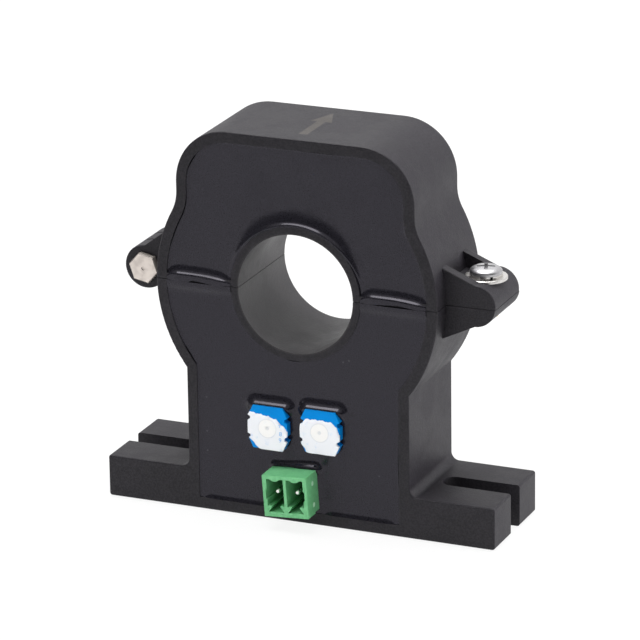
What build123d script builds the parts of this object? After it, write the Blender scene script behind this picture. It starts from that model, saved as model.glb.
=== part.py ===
"""Split-core current transducer with a slotted base, a hinged cap and a clamp screw.

Millimetres. +X to the right, +Y to the back, +Z up. The origin is the centre of the base's bottom
face. The conductor passes along Y through the bore, and the resin-filled face looks along -Y.
"""

from build123d import *
import os
from math import atan2, cos, degrees, radians, sin, sqrt

os.makedirs("parts", exist_ok=True)

# Body seen from the front
DEPTH = 20.6
AXIS_HEIGHT = 43.0
BODY_WIDTH = 42.8
CAP_WIDTH = 45.4
CAP_RISE = 1.6
CAP_CORNER = 10.0
NECK_RADIUS = 8.0
EDGE_BREAK = 0.3

# Base and feet
BASE_WIDTH = 75.0
FOOT_HEIGHT = 7.8
FOOT_FILLET = 1.5
FOOT_EDGE = 0.5
SLOT_WIDTH = 4.4
SLOT_STANDOFF = 2.4

# Bore, core and the room round the core, from the axis outwards
BORE_RADIUS = 11.0
TUBE_WALL = 1.4
CORE_BED = 2.6
CORE_BUILD = 8.0
CORE_MARGIN = 1.9
RIM_WALL = 2.0

# Other walls of the two trays
FLOOR_WALL = 2.2
BACK_WALL = 1.8
LOWER_PARTING_WALL = 0.8
UPPER_PARTING_WALL = 1.1
PARTING_GAP = 0.1
LOWER_RESIN_DROP = 0.3
UPPER_RESIN_DROP = 0.5
COLLAR_REACH = 1.0
COLLAR_CLIMB = 0.9
COLLAR_LIP = 0.15

# Hinge on the left
PIVOT_RISE = 0.2
HINGE_STANDOUT = 4.15
HINGE_WIDTH = 12.0
KNUCKLE_RADIUS = 4.05
KNUCKLE_EDGE = 0.35
MIDDLE_KNUCKLE = 3.8
KNUCKLE_GAP = 0.3
HINGE_WEB_RISE = 8.9
HINGE_WEB_DROP = 6.9
PIN_RADIUS = 1.25
PIN_SEAT_FIT = 0.02
PIN_RUNNING_FIT = 0.08
HEX_FLATS = 5.0
HEX_FIT = 0.1
HEX_TURN = -11.4
HEX_CHAMFER = 0.15
DIMPLE_RADIUS = 0.35
DIMPLE_DEPTH = 0.15
PIN_HEAD = 1.75
HEAD_RECESS = 0.7
NUT_HEIGHT = 2.0
NUT_RECESS = 1.2
PIN_TAIL = 0.5

# Clamp lug and its screw on the right
SCREW_STANDOUT = 5.1
NOSE_OFFSET = 0.2
NOSE_RADIUS = 3.8
NOSE_RISE = 0.4
RIB_RISE = 7.2
RIB_WALL = 1.9
LUG_DROP = 6.9
LUG_EDGE = 0.3
SEAT_RISE = 3.75
SCREW_RADIUS = 1.45
SCREW_LENGTH = 8.0
SCREW_HOLE_FIT = 0.2
SCREW_HEAD_RADIUS = 2.88
SCREW_HEAD_HEIGHT = 1.5
SCREW_CROWN = 0.9
SCREW_TIP = 0.4
CROSS_WIDTH = 0.62
CROSS_REACH = 1.6
CROSS_DEPTH = 0.9
CROSS_TAPER = 8.0
CROSS_TURN = 20.0
FLAT_WASHER_RADIUS = 3.85
FLAT_WASHER_THICKNESS = 0.5
SPRING_WASHER_RADIUS = 2.95
SPRING_WASHER_THICKNESS = 0.5
SPRING_WASHER_SPLIT = 0.5
SPLIT_TURN = -50.0
WASHER_BORE_FIT = 0.1
WASHER_POCKET_FIT = 0.25
INSERT_RADIUS = 2.2
INSERT_LENGTH = 3.0
INSERT_SEAT_FIT = 0.02
INSERT_THREAD_FIT = 0.2
INSERT_GROOVE = 0.25

# Magnetic core, winding and cushion
CORE_STACK = 9.0
CORE_SETBACK = 1.7
CORE_FIT = 0.1
UP = 90.0
DOWN = -90.0
HALF_TURN = 180.0
CUSHION_THICKNESS = 1.2
CUSHION_ANGLE = 110.0
WRAP_THICKNESS = 0.4
WINDING_THICKNESS = 0.9
WRAP_ANGLE = 136.0
WINDING_ANGLE = 128.0

# Circuit board and its small parts
BOARD_SETBACK = 3.8
BOARD_THICKNESS = 1.6
BOARD_SIDE_GAP = 1.0
BOARD_BOTTOM_GAP = 0.8
BOARD_HEIGHT = 20.0
BOARD_CORNER = 1.0
LEDGE_WIDTH = 2.0
LEDGE_HEIGHT = 13.0
LEAD_RADIUS = 0.45
LEAD_SPREAD = 8.3
LEAD_BEND = 2.0
LEAD_HEIGHT = 13.0
AMPLIFIER_INSET = 4.8
AMPLIFIER_RISE = 14.2
AMPLIFIER_SIZE = (5.0, 3.9, 1.5)
AMPLIFIER_LEG_PITCH = 1.27
AMPLIFIER_LEG = (0.42, 1.05, 0.22)
RECTIFIER_INSET = 4.8
RECTIFIER_RISE = 14.0
RECTIFIER_SIZE = (4.8, 4.0, 2.4)
CAPACITOR_INSET = 5.0
CAPACITOR_RISE = 5.6
CAPACITOR_SIZE = (6.0, 3.2, 2.5)
CHIP_SIZE = (2.0, 1.25, 0.5)
CHIP_INSET = 2.0
CHIP_RISE = 2.2
CHIP_STEP = (3.4, 2.8)
CERAMIC_SIZE = (1.6, 0.8, 0.8)
CERAMIC_INSET = 3.2
CERAMIC_RISE = 1.6
CERAMIC_STEP = 2.8

# Two-pole header, which leans a little on the real one
PITCH = 3.81
HEADER_X = -0.33
HEADER_Z = 6.6
HEADER_LEAN = 3.7
HEADER_HEIGHT = 7.7
HEADER_STANDOUT = 5.0
HEADER_WALL = 0.73
HEADER_DIVIDER = 0.54
HEADER_TOP_WALL = 0.65
CELL_HEIGHT = 5.05
CELL_DEPTH = 7.2
SCALLOP_WIDTH = 1.9
SCALLOP_DROP = 0.42
KEY_HEIGHT = 1.15
KEY_TOP = 1.5
KEY_BOTTOM = 3.0
SIDE_NOTCH_DEPTH = 0.22
SIDE_NOTCH_HEIGHT = 1.8
SIDE_NOTCH_DROP = 2.0
SOLE_STEP = 0.25
SOLE_LENGTH = 3.0
PIP_RADIUS = 0.45
PIP_STANDOUT = 0.06
PIP_SETBACK = 2.6
PIP_SPREAD = 4.0
HEADER_PIN_RADIUS = 0.45
HEADER_PIN_POINT = 0.17
HEADER_PIN_RISE = 0.58
HEADER_PIN_SETBACK = 1.1
HEADER_PIN_TAIL = 2.2
PIN_HOLE_FIT = 0.2
PIN_FIT = 0.02

# Zero and span trimmers
TRIMMER_STANDOUT = 1.25
TRIMMER_WIDTH = 7.45
TRIMMER_HEIGHT = 8.0
TRIMMER_SHOULDER = 0.85
NOTCH_DEPTH = 0.5
NOTCH_SPREAD = 3.4
ZERO_TRIMMER_AT = (-5.15, 17.75)
SPAN_TRIMMER_AT = (4.95, 18.25)
ROTOR_RADIUS = 1.88
ROTOR_DEPTH = 1.6
ROTOR_FIT = 0.08
ROTOR_SLOT = 0.5
ROTOR_SLOT_DEPTH = 0.6
SEAL_THICKNESS = 0.15
TRIMMER_PIN_RADIUS = 0.28
TRIMMER_PIN_SPREAD = 2.54
TRIMMER_PIN_DROP = 2.0
TRIMMER_PIN_CLEARANCE = 0.2

# Heights, depths and radii that follow from the sizes above
HALF_DEPTH = DEPTH / 2
TUBE_RADIUS = BORE_RADIUS + TUBE_WALL
CORE_INNER = TUBE_RADIUS + CORE_BED
CORE_OUTER = CORE_INNER + CORE_BUILD
RING_INSIDE = CORE_OUTER + CORE_MARGIN
RING_RADIUS = RING_INSIDE + RIM_WALL
TOTAL_HEIGHT = AXIS_HEIGHT + RING_RADIUS + CAP_RISE
CAP_SIDE = RING_RADIUS + CAP_RISE - sqrt(RING_RADIUS ** 2 - CAP_WIDTH ** 2 / 4)
SLOT_INNER_END = BODY_WIDTH / 2 + SLOT_STANDOFF
HINGE_X = -RING_RADIUS - HINGE_STANDOUT
SCREW_X = RING_RADIUS + SCREW_STANDOUT
NOSE_X = SCREW_X + NOSE_OFFSET
PIVOT_HEIGHT = AXIS_HEIGHT + PIVOT_RISE
NOSE_HEIGHT = AXIS_HEIGHT + NOSE_RISE
UPPER_FACE = AXIS_HEIGHT + PARTING_GAP / 2
LOWER_FACE = AXIS_HEIGHT - PARTING_GAP / 2
SEAT_HEIGHT = AXIS_HEIGHT + SEAT_RISE
LUG_WIDTH = 2 * (FLAT_WASHER_RADIUS + WASHER_POCKET_FIT + RIB_WALL)
CORE_FRONT = CORE_SETBACK - CORE_STACK / 2
CORE_BACK = CORE_SETBACK + CORE_STACK / 2
TRAY_FLOOR = HALF_DEPTH - BACK_WALL
BOARD_FACE = BOARD_SETBACK - HALF_DEPTH
BOARD_BACK = BOARD_FACE + BOARD_THICKNESS
BOARD_WIDTH = BODY_WIDTH - 2 * (RIM_WALL + BOARD_SIDE_GAP)
BOARD_BOTTOM = FLOOR_WALL + BOARD_BOTTOM_GAP
WINDING_FRONT = CORE_FRONT - WRAP_THICKNESS - WINDING_THICKNESS
TRIMMER_PIN_TAIL = WINDING_FRONT - TRIMMER_PIN_CLEARANCE - BOARD_BACK
HEADER_WIDTH = 2 * PITCH - HEADER_DIVIDER + 2 * HEADER_WALL
HEADER_DEPTH = BOARD_SETBACK + HEADER_STANDOUT
TRIMMER_FACE = -HALF_DEPTH - TRIMMER_STANDOUT
HEAD_SEAT = SEAT_HEIGHT + FLAT_WASHER_THICKNESS + SPRING_WASHER_THICKNESS
FRONT_SPAN = (-HINGE_WIDTH / 2, -MIDDLE_KNUCKLE / 2 - KNUCKLE_GAP)
MIDDLE_SPAN = (-MIDDLE_KNUCKLE / 2, MIDDLE_KNUCKLE / 2)
BACK_SPAN = (MIDDLE_KNUCKLE / 2 + KNUCKLE_GAP, HINGE_WIDTH / 2)
BIG = 4 * BASE_WIDTH


def facing(y):
    """Plane at depth y that looks to the front, so that an extrusion from it runs forwards."""
    return Plane.XZ.offset(-y)


def named(part, name):
    """Label a finished piece and write it to its own file."""
    part.label = name
    export_step(part, f"parts/{name}.step")


# Front views shared by several pieces
with BuildSketch() as body_outline:
    Rectangle(BODY_WIDTH, AXIS_HEIGHT, align=(Align.CENTER, Align.MIN))
    with Locations((0, AXIS_HEIGHT)):
        Circle(RING_RADIUS)
        Rectangle(CAP_WIDTH, TOTAL_HEIGHT - AXIS_HEIGHT, align=(Align.CENTER, Align.MIN))
    fillet(body_outline.vertices().group_by(Axis.Y)[-2], NECK_RADIUS)
    fillet(body_outline.vertices().group_by(Axis.Y)[-1], min(CAP_CORNER, CAP_SIDE - NECK_RADIUS / 2))

with BuildSketch() as rim_inside:
    add(body_outline.sketch)
    offset(amount=-RIM_WALL)
    with Locations((0, AXIS_HEIGHT)):
        Circle(TUBE_RADIUS, mode=Mode.SUBTRACT)

with BuildSketch() as upper_tray:
    add(rim_inside.sketch)
    with Locations((0, UPPER_FACE + UPPER_PARTING_WALL)):
        Rectangle(BIG, BIG, align=(Align.CENTER, Align.MIN), mode=Mode.INTERSECT)

with BuildSketch() as lower_tray:
    add(rim_inside.sketch)
    with Locations((0, FLOOR_WALL)):
        tray_height = LOWER_FACE - LOWER_PARTING_WALL - FLOOR_WALL
        Rectangle(BIG, tray_height, align=(Align.CENTER, Align.MIN), mode=Mode.INTERSECT)

with BuildSketch() as core_windows:
    with Locations((CORE_INNER + CORE_BUILD / 2, CORE_SETBACK),
                   (-CORE_INNER - CORE_BUILD / 2, CORE_SETBACK)):
        Rectangle(CORE_BUILD + 2 * CORE_FIT, CORE_STACK + 2 * CORE_FIT)


def profile(*points):
    """Straight-sided front view through the given points."""
    with BuildSketch() as shape:
        with BuildLine():
            Polyline(*points, close=True)
        make_face()
    return shape.sketch


def slab(shape, front, back):
    """Front view made solid between two depths."""
    with BuildPart() as solid:
        with BuildSketch(facing(back)):
            add(shape)
        extrude(amount=back - front)
    return solid.part


def disc(x, z, radius):
    """Round front view at a place."""
    with BuildSketch() as shape:
        with Locations((x, z)):
            Circle(radius)
    return shape.sketch


def knuckle(web, span):
    """Hinge knuckle with its web and softly rounded ends."""
    with BuildSketch() as shape:
        add(web)
        with Locations((HINGE_X, PIVOT_HEIGHT)):
            Circle(KNUCKLE_RADIUS)
    with BuildPart() as solid:
        add(slab(shape.sketch, *span))
        round_edges = solid.edges().filter_by(GeomType.CIRCLE)
        fillet(round_edges, KNUCKLE_EDGE)
    return solid.part


def relief(span):
    """Scallop beside the other half's knuckle, with room for it to turn."""
    room = disc(HINGE_X, PIVOT_HEIGHT, KNUCKLE_RADIUS + KNUCKLE_GAP)
    return slab(room, span[0] - KNUCKLE_GAP, span[1] + KNUCKLE_GAP)


def lug(shape):
    """Clamp lug as wide as the washer pocket and its two ribs."""
    return slab(shape, -LUG_WIDTH / 2, LUG_WIDTH / 2)


def arc_of_ring(inner, outer, front, back, middle, span):
    """Piece of a ring round the bore, centred on the angle given as middle."""
    reach = 2 * outer
    turns = [radians(middle + span * share) for share in (-0.5, -0.25, 0, 0.25, 0.5)]
    sector = [(reach * cos(turn), AXIS_HEIGHT + reach * sin(turn)) for turn in turns]
    cut = profile((0, AXIS_HEIGHT), *sector)
    with BuildSketch() as shape:
        with Locations((0, AXIS_HEIGHT)):
            Circle(outer)
            Circle(inner, mode=Mode.SUBTRACT)
        add(cut, mode=Mode.INTERSECT)
    return slab(shape.sketch, front, back)


def core_sleeve(thickness_in, thickness_out, span):
    """Sleeve round the lower core half, between two distances from the core's faces."""
    outside = arc_of_ring(CORE_INNER - thickness_out, CORE_OUTER + thickness_out,
                          CORE_FRONT - thickness_out, CORE_BACK + thickness_out, DOWN, span)
    inside = arc_of_ring(CORE_INNER - thickness_in, CORE_OUTER + thickness_in,
                         CORE_FRONT - thickness_in, CORE_BACK + thickness_in, DOWN, HALF_TURN)
    with BuildPart() as sleeve:
        add(outside)
        add(inside, mode=Mode.SUBTRACT)
    return sleeve.part


# Ears of the hinge and the clamp
upper_web = profile((HINGE_X, UPPER_FACE), (HINGE_X, PIVOT_HEIGHT + KNUCKLE_RADIUS),
                    (-RING_INSIDE, AXIS_HEIGHT + HINGE_WEB_RISE), (-RING_INSIDE, UPPER_FACE))
lower_web = profile((HINGE_X, LOWER_FACE), (HINGE_X, PIVOT_HEIGHT - KNUCKLE_RADIUS),
                    (-RING_INSIDE, AXIS_HEIGHT - HINGE_WEB_DROP), (-RING_INSIDE, LOWER_FACE))
upper_wedge = profile((NOSE_X, UPPER_FACE), (NOSE_X, NOSE_HEIGHT + NOSE_RADIUS),
                      (RING_INSIDE, AXIS_HEIGHT + RIB_RISE), (RING_INSIDE, UPPER_FACE))
lower_wedge = profile((NOSE_X, LOWER_FACE), (NOSE_X, NOSE_HEIGHT - NOSE_RADIUS),
                      (RING_INSIDE, AXIS_HEIGHT - LUG_DROP), (RING_INSIDE, LOWER_FACE))

front_knuckle = knuckle(upper_web, FRONT_SPAN)
middle_knuckle = knuckle(lower_web, MIDDLE_SPAN)
back_knuckle = knuckle(upper_web, BACK_SPAN)
front_relief = relief(FRONT_SPAN)
middle_relief = relief(MIDDLE_SPAN)
back_relief = relief(BACK_SPAN)

with BuildSketch() as upper_nose:
    with Locations((NOSE_X, NOSE_HEIGHT)):
        Circle(NOSE_RADIUS)
    add(upper_wedge)
    with Locations((0, UPPER_FACE)):
        Rectangle(BIG, BIG, align=(Align.CENTER, Align.MIN), mode=Mode.INTERSECT)

with BuildSketch() as lower_nose:
    with Locations((NOSE_X, NOSE_HEIGHT)):
        Circle(NOSE_RADIUS)
    add(lower_wedge)
    with Locations((0, LOWER_FACE)):
        Rectangle(BIG, BIG, align=(Align.CENTER, Align.MAX), mode=Mode.INTERSECT)

with BuildPart() as upper_lug:
    add(lug(upper_nose.sketch))
    fillet(upper_lug.edges().filter_by(Plane.XZ).filter_by_position(
        Axis.Z, UPPER_FACE + LUG_EDGE, BIG), LUG_EDGE)
    with Locations((NOSE_X, 0, SEAT_HEIGHT)):
        Box(BIG, LUG_WIDTH - 2 * RIB_WALL, BIG, align=(Align.CENTER, Align.CENTER, Align.MIN),
            mode=Mode.SUBTRACT)

with BuildPart() as lower_lug:
    add(lug(lower_nose.sketch))

bore_cut = slab(disc(0, AXIS_HEIGHT, BORE_RADIUS), -HALF_DEPTH, HALF_DEPTH)
upper_tray_cut = slab(upper_tray.sketch, -HALF_DEPTH, TRAY_FLOOR)
lower_tray_cut = slab(lower_tray.sketch, -HALF_DEPTH, TRAY_FLOOR)

with BuildSketch() as hexagon_outline:
    with Locations((HINGE_X, PIVOT_HEIGHT)):
        RegularPolygon(HEX_FLATS / 2, 6, major_radius=False, rotation=HEX_TURN)
hexagon = hexagon_outline.sketch

with BuildSketch() as hexagon_room:
    with Locations((HINGE_X, PIVOT_HEIGHT)):
        RegularPolygon(HEX_FLATS / 2 + HEX_FIT, 6, major_radius=False, rotation=HEX_TURN)

nut_front = HINGE_WIDTH / 2 - NUT_RECESS
nut_back = nut_front + NUT_HEIGHT
pin_end = nut_back + PIN_TAIL
pin_seat = slab(disc(HINGE_X, PIVOT_HEIGHT, PIN_RADIUS + PIN_SEAT_FIT),
                -HINGE_WIDTH / 2, HINGE_WIDTH / 2)
head_room = slab(hexagon_room.sketch, -HINGE_WIDTH / 2, HEAD_RECESS - HINGE_WIDTH / 2)
nut_room = slab(hexagon_room.sketch, nut_front, HINGE_WIDTH / 2)

# Lower housing: base, feet, lower tray, middle knuckle and lower clamp lug
with BuildPart() as lower_housing:
    with BuildSketch(facing(HALF_DEPTH)) as base_outline:
        add(body_outline.sketch)
        with Locations((0, LOWER_FACE)):
            Rectangle(BIG, BIG, align=(Align.CENTER, Align.MAX), mode=Mode.INTERSECT)
        Rectangle(BASE_WIDTH, FOOT_HEIGHT, align=(Align.CENTER, Align.MIN))
        foot_corners = base_outline.vertices().group_by(Axis.Y)[1].sort_by(Axis.X)
        fillet(foot_corners[1:3], FOOT_FILLET)
    extrude(amount=DEPTH)
    foot_tips = lower_housing.edges().filter_by(Axis.Y).group_by(Axis.X)
    fillet(foot_tips[0] + foot_tips[-1], FOOT_EDGE)
    rims = lower_housing.edges().filter_by(Plane.XZ).filter_by_position(
        Axis.Z, EDGE_BREAK, LOWER_FACE - EDGE_BREAK)
    fillet(rims, EDGE_BREAK)
    add(lower_lug.part)
    add(front_relief, mode=Mode.SUBTRACT)
    add(back_relief, mode=Mode.SUBTRACT)
    add(middle_knuckle)
    add(bore_cut, mode=Mode.SUBTRACT)
    add(lower_tray_cut, mode=Mode.SUBTRACT)
    with BuildSketch(Plane.XY.offset(LOWER_FACE)):
        add(core_windows.sketch)
    extrude(amount=-2 * LOWER_PARTING_WALL, mode=Mode.SUBTRACT)
    with BuildSketch(Plane.XY):
        for side in (-1, 1):
            slot_centre = side * (SLOT_INNER_END + SLOT_WIDTH / 2)
            with Locations((slot_centre, 0)):
                Circle(SLOT_WIDTH / 2)
            with Locations((slot_centre + side * BASE_WIDTH / 2, 0)):
                Rectangle(BASE_WIDTH, SLOT_WIDTH)
    extrude(amount=FOOT_HEIGHT + FOOT_FILLET, mode=Mode.SUBTRACT)
    with BuildSketch(facing(TRAY_FLOOR)):
        for side in (-1, 1):
            with Locations((side * (BODY_WIDTH / 2 - RIM_WALL - LEDGE_WIDTH / 2), FLOOR_WALL)):
                Rectangle(LEDGE_WIDTH, LEDGE_HEIGHT, align=(Align.CENTER, Align.MIN))
    extrude(amount=TRAY_FLOOR - BOARD_BACK)
    add(slab(disc(HINGE_X, PIVOT_HEIGHT, PIN_RADIUS + PIN_RUNNING_FIT), *MIDDLE_SPAN),
        mode=Mode.SUBTRACT)
    with Locations((SCREW_X, 0, LOWER_FACE)):
        CounterBoreHole(SCREW_RADIUS + SCREW_HOLE_FIT, INSERT_RADIUS + INSERT_SEAT_FIT,
                        INSERT_LENGTH, LUG_DROP)
named(lower_housing.part, "lower_housing")

# Upper housing: the cap with its tray, outer knuckles and ribbed clamp lug
with BuildPart() as upper_housing:
    with BuildSketch(facing(HALF_DEPTH)):
        add(body_outline.sketch)
        with Locations((0, UPPER_FACE)):
            Rectangle(BIG, BIG, align=(Align.CENTER, Align.MIN), mode=Mode.INTERSECT)
    extrude(amount=DEPTH)
    fillet(upper_housing.edges().filter_by(Plane.XZ).filter_by_position(
        Axis.Z, UPPER_FACE + EDGE_BREAK, BIG), EDGE_BREAK)
    add(upper_lug.part)
    add(middle_relief, mode=Mode.SUBTRACT)
    add(front_knuckle)
    add(back_knuckle)
    add(bore_cut, mode=Mode.SUBTRACT)
    add(upper_tray_cut, mode=Mode.SUBTRACT)
    with BuildSketch(Plane.XY.offset(UPPER_FACE)):
        add(core_windows.sketch)
    extrude(amount=2 * UPPER_PARTING_WALL, mode=Mode.SUBTRACT)
    add(pin_seat, mode=Mode.SUBTRACT)
    add(head_room, mode=Mode.SUBTRACT)
    add(nut_room, mode=Mode.SUBTRACT)
    with Locations((SCREW_X, 0, SEAT_HEIGHT)):
        Hole(SCREW_RADIUS + SCREW_HOLE_FIT, SEAT_RISE)
named(upper_housing.part, "upper_housing")

# Split core: two half rings whose ends meet at the parting plane
lower_core = arc_of_ring(CORE_INNER, CORE_OUTER, CORE_FRONT, CORE_BACK, DOWN, HALF_TURN)
named(lower_core, "lower_core")
upper_core = arc_of_ring(CORE_INNER, CORE_OUTER, CORE_FRONT, CORE_BACK, UP, HALF_TURN)
named(upper_core, "upper_core")
core_cushion = arc_of_ring(CORE_OUTER, CORE_OUTER + CUSHION_THICKNESS, CORE_FRONT, CORE_BACK,
                           UP, CUSHION_ANGLE)
named(core_cushion, "core_cushion")

# Winding on its insulating wrap round the lower core half
core_wrap = core_sleeve(0, WRAP_THICKNESS, WRAP_ANGLE)
named(core_wrap, "core_wrap")
winding_reach = WRAP_THICKNESS + WINDING_THICKNESS
secondary_winding = core_sleeve(WRAP_THICKNESS, winding_reach, WINDING_ANGLE)
named(secondary_winding, "secondary_winding")

# Lead wires from the winding's underside to the back of the board
with BuildPart() as lead_wires:
    lead_inside = LEAD_SPREAD - LEAD_RADIUS
    lead_drop = sqrt((CORE_OUTER + winding_reach) ** 2 - lead_inside ** 2)
    for side in (-1, 1):
        x = side * LEAD_SPREAD
        with BuildLine():
            FilletPolyline((x, CORE_SETBACK, AXIS_HEIGHT - lead_drop), (x, CORE_SETBACK, LEAD_HEIGHT),
                           (x, BOARD_BACK, LEAD_HEIGHT), radius=LEAD_BEND)
        with BuildSketch(Plane.XY.offset(AXIS_HEIGHT - lead_drop)):
            with Locations((x, CORE_SETBACK)):
                Circle(LEAD_RADIUS)
        sweep()
named(lead_wires.part, "lead_wires")

# Circuit board with holes for every pin
header_frame = Plane(origin=(HEADER_X, BOARD_FACE, HEADER_Z), z_dir=(0, -1, 0),
                     x_dir=(cos(radians(HEADER_LEAN)), 0, sin(radians(HEADER_LEAN))))
header_pin_places = [(-PITCH / 2, HEADER_PIN_RISE), (PITCH / 2, HEADER_PIN_RISE)]
trimmer_pin_places = [(x + step * TRIMMER_PIN_SPREAD, z - TRIMMER_PIN_DROP)
                      for x, z in (ZERO_TRIMMER_AT, SPAN_TRIMMER_AT) for step in (-1, 0, 1)]

with BuildPart() as board_blank:
    with BuildSketch(facing(BOARD_BACK)):
        with Locations((0, BOARD_BOTTOM)):
            Rectangle(BOARD_WIDTH, BOARD_HEIGHT, align=(Align.CENTER, Align.MIN))
    extrude(amount=BOARD_THICKNESS)
    fillet(board_blank.edges().filter_by(Axis.Y), BOARD_CORNER)

with BuildPart() as circuit_board:
    add(board_blank.part)
    with BuildSketch(header_frame):
        with Locations(*header_pin_places):
            Circle(HEADER_PIN_RADIUS + PIN_HOLE_FIT)
    extrude(amount=-BOARD_THICKNESS, mode=Mode.SUBTRACT)
    with BuildSketch(facing(BOARD_BACK)):
        with Locations(*trimmer_pin_places):
            Circle(TRIMMER_PIN_RADIUS + PIN_HOLE_FIT)
    extrude(amount=BOARD_THICKNESS, mode=Mode.SUBTRACT)
named(circuit_board.part, "circuit_board")


def chip(side, inset, rise, size, leg_columns=0):
    """Component at an inset from one side of the board, with legs above and below if it has any."""
    place = (side * (BOARD_WIDTH / 2 - inset), BOARD_BOTTOM + rise)
    width, height, thickness = size
    leg_width, leg_length, leg_thickness = AMPLIFIER_LEG
    with BuildPart() as body:
        with BuildSketch(facing(BOARD_FACE)):
            with Locations(place):
                Rectangle(width, height)
        extrude(amount=thickness)
        if leg_columns:
            with BuildSketch(facing(BOARD_FACE)):
                with Locations(place):
                    with GridLocations(AMPLIFIER_LEG_PITCH, height + leg_length, leg_columns, 2):
                        Rectangle(leg_width, leg_length)
            extrude(amount=leg_thickness)
    return body.part


amplifier = chip(-1, AMPLIFIER_INSET, AMPLIFIER_RISE, AMPLIFIER_SIZE, 4)
named(amplifier, "amplifier")
bridge_rectifier = chip(1, RECTIFIER_INSET, RECTIFIER_RISE, RECTIFIER_SIZE, 2)
named(bridge_rectifier, "bridge_rectifier")
storage_capacitor = chip(1, CAPACITOR_INSET, CAPACITOR_RISE, CAPACITOR_SIZE)
named(storage_capacitor, "storage_capacitor")

with BuildPart() as chip_resistors:
    for column in range(2):
        for row in range(3):
            add(chip(-1, CHIP_INSET + column * CHIP_STEP[0], CHIP_RISE + row * CHIP_STEP[1], CHIP_SIZE))
named(chip_resistors.part, "chip_resistors")

with BuildPart() as chip_capacitors:
    for column in range(3):
        add(chip(1, CERAMIC_INSET + column * CERAMIC_STEP, CERAMIC_RISE, CERAMIC_SIZE))
named(chip_capacitors.part, "chip_capacitors")

# Header shell: a block with two keyed cells that are open to the front
cell_top = HEADER_HEIGHT / 2 - HEADER_TOP_WALL
cell_sole = cell_top - CELL_HEIGHT
cell_width = PITCH - HEADER_DIVIDER
scallop_radius = (SCALLOP_WIDTH ** 2 / 4 + SCALLOP_DROP ** 2) / (2 * SCALLOP_DROP)

with BuildPart() as header_block:
    with BuildSketch(header_frame):
        Rectangle(HEADER_WIDTH, HEADER_HEIGHT)
    extrude(amount=HEADER_DEPTH)

with BuildPart() as header_shell:
    add(header_block.part)
    with BuildSketch(header_frame):
        with Locations((0, -HEADER_HEIGHT / 2)):
            Rectangle(HEADER_WIDTH, SOLE_STEP, align=(Align.CENTER, Align.MIN))
    extrude(amount=HEADER_DEPTH - SOLE_LENGTH, mode=Mode.SUBTRACT)
    with BuildSketch(header_frame.offset(HEADER_DEPTH)):
        for side in (-1, 1):
            middle = side * PITCH / 2
            with Locations((middle, cell_sole)):
                Rectangle(cell_width, CELL_HEIGHT, align=(Align.CENTER, Align.MIN))
            with Locations((middle, cell_top + scallop_radius - SCALLOP_DROP)):
                Circle(scallop_radius, mode=Mode.SUBTRACT)
            with Locations((middle + side * cell_width / 2, cell_top - SIDE_NOTCH_DROP)):
                Rectangle(2 * SIDE_NOTCH_DEPTH, SIDE_NOTCH_HEIGHT, align=(Align.CENTER, Align.MAX))
            with BuildLine():
                Polyline((middle - KEY_TOP / 2, cell_sole), (middle + KEY_TOP / 2, cell_sole),
                         (middle + KEY_BOTTOM / 2, cell_sole - KEY_HEIGHT),
                         (middle - KEY_BOTTOM / 2, cell_sole - KEY_HEIGHT), close=True)
            make_face()
    extrude(amount=-CELL_DEPTH, mode=Mode.SUBTRACT)
    with BuildSketch(header_frame):
        with Locations(*header_pin_places):
            Circle(HEADER_PIN_RADIUS + PIN_FIT)
    extrude(amount=HEADER_DEPTH, mode=Mode.SUBTRACT)
    pip_plane = Plane(origin=header_frame.origin, x_dir=header_frame.z_dir, z_dir=header_frame.x_dir)
    with BuildSketch(pip_plane.offset(-HEADER_WIDTH / 2 - PIP_STANDOUT)):
        with Locations((HEADER_DEPTH - PIP_SETBACK, 0)):
            with GridLocations(1, PIP_SPREAD, 1, 2):
                Circle(PIP_RADIUS)
    extrude(amount=HEADER_WALL / 2)
    with BuildSketch(pip_plane.offset(HEADER_WIDTH / 2 + PIP_STANDOUT)):
        with Locations((HEADER_DEPTH - PIP_SETBACK, 0)):
            with GridLocations(1, PIP_SPREAD, 1, 2):
                Circle(PIP_RADIUS)
    extrude(amount=-HEADER_WALL / 2)
named(header_shell.part, "header_shell")

with BuildPart() as header_pins:
    with BuildSketch(header_frame.offset(-BOARD_THICKNESS - HEADER_PIN_TAIL)):
        with Locations(*header_pin_places):
            Circle(HEADER_PIN_RADIUS)
    extrude(amount=BOARD_THICKNESS + HEADER_PIN_TAIL + HEADER_DEPTH - HEADER_PIN_SETBACK)
    pin_points = header_pins.edges().filter_by(GeomType.CIRCLE).group_by(Axis.Y)[0]
    chamfer(pin_points, HEADER_PIN_POINT)
named(header_pins.part, "header_pins")


def trimmer_outline():
    """Front view of a trimmer case: sloping shoulders and two notches in each flank."""
    half_width = TRIMMER_WIDTH / 2
    half_height = TRIMMER_HEIGHT / 2
    notch = NOTCH_SPREAD / 2
    quarter = [(half_width - TRIMMER_SHOULDER, half_height), (half_width, notch + NOTCH_DEPTH),
               (half_width - NOTCH_DEPTH, notch + NOTCH_DEPTH / 2),
               (half_width - NOTCH_DEPTH, notch - NOTCH_DEPTH / 2), (half_width, notch - NOTCH_DEPTH)]
    right = quarter + [(x, -y) for x, y in reversed(quarter)]
    return profile(*right, *[(-x, y) for x, y in reversed(right)])


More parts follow.
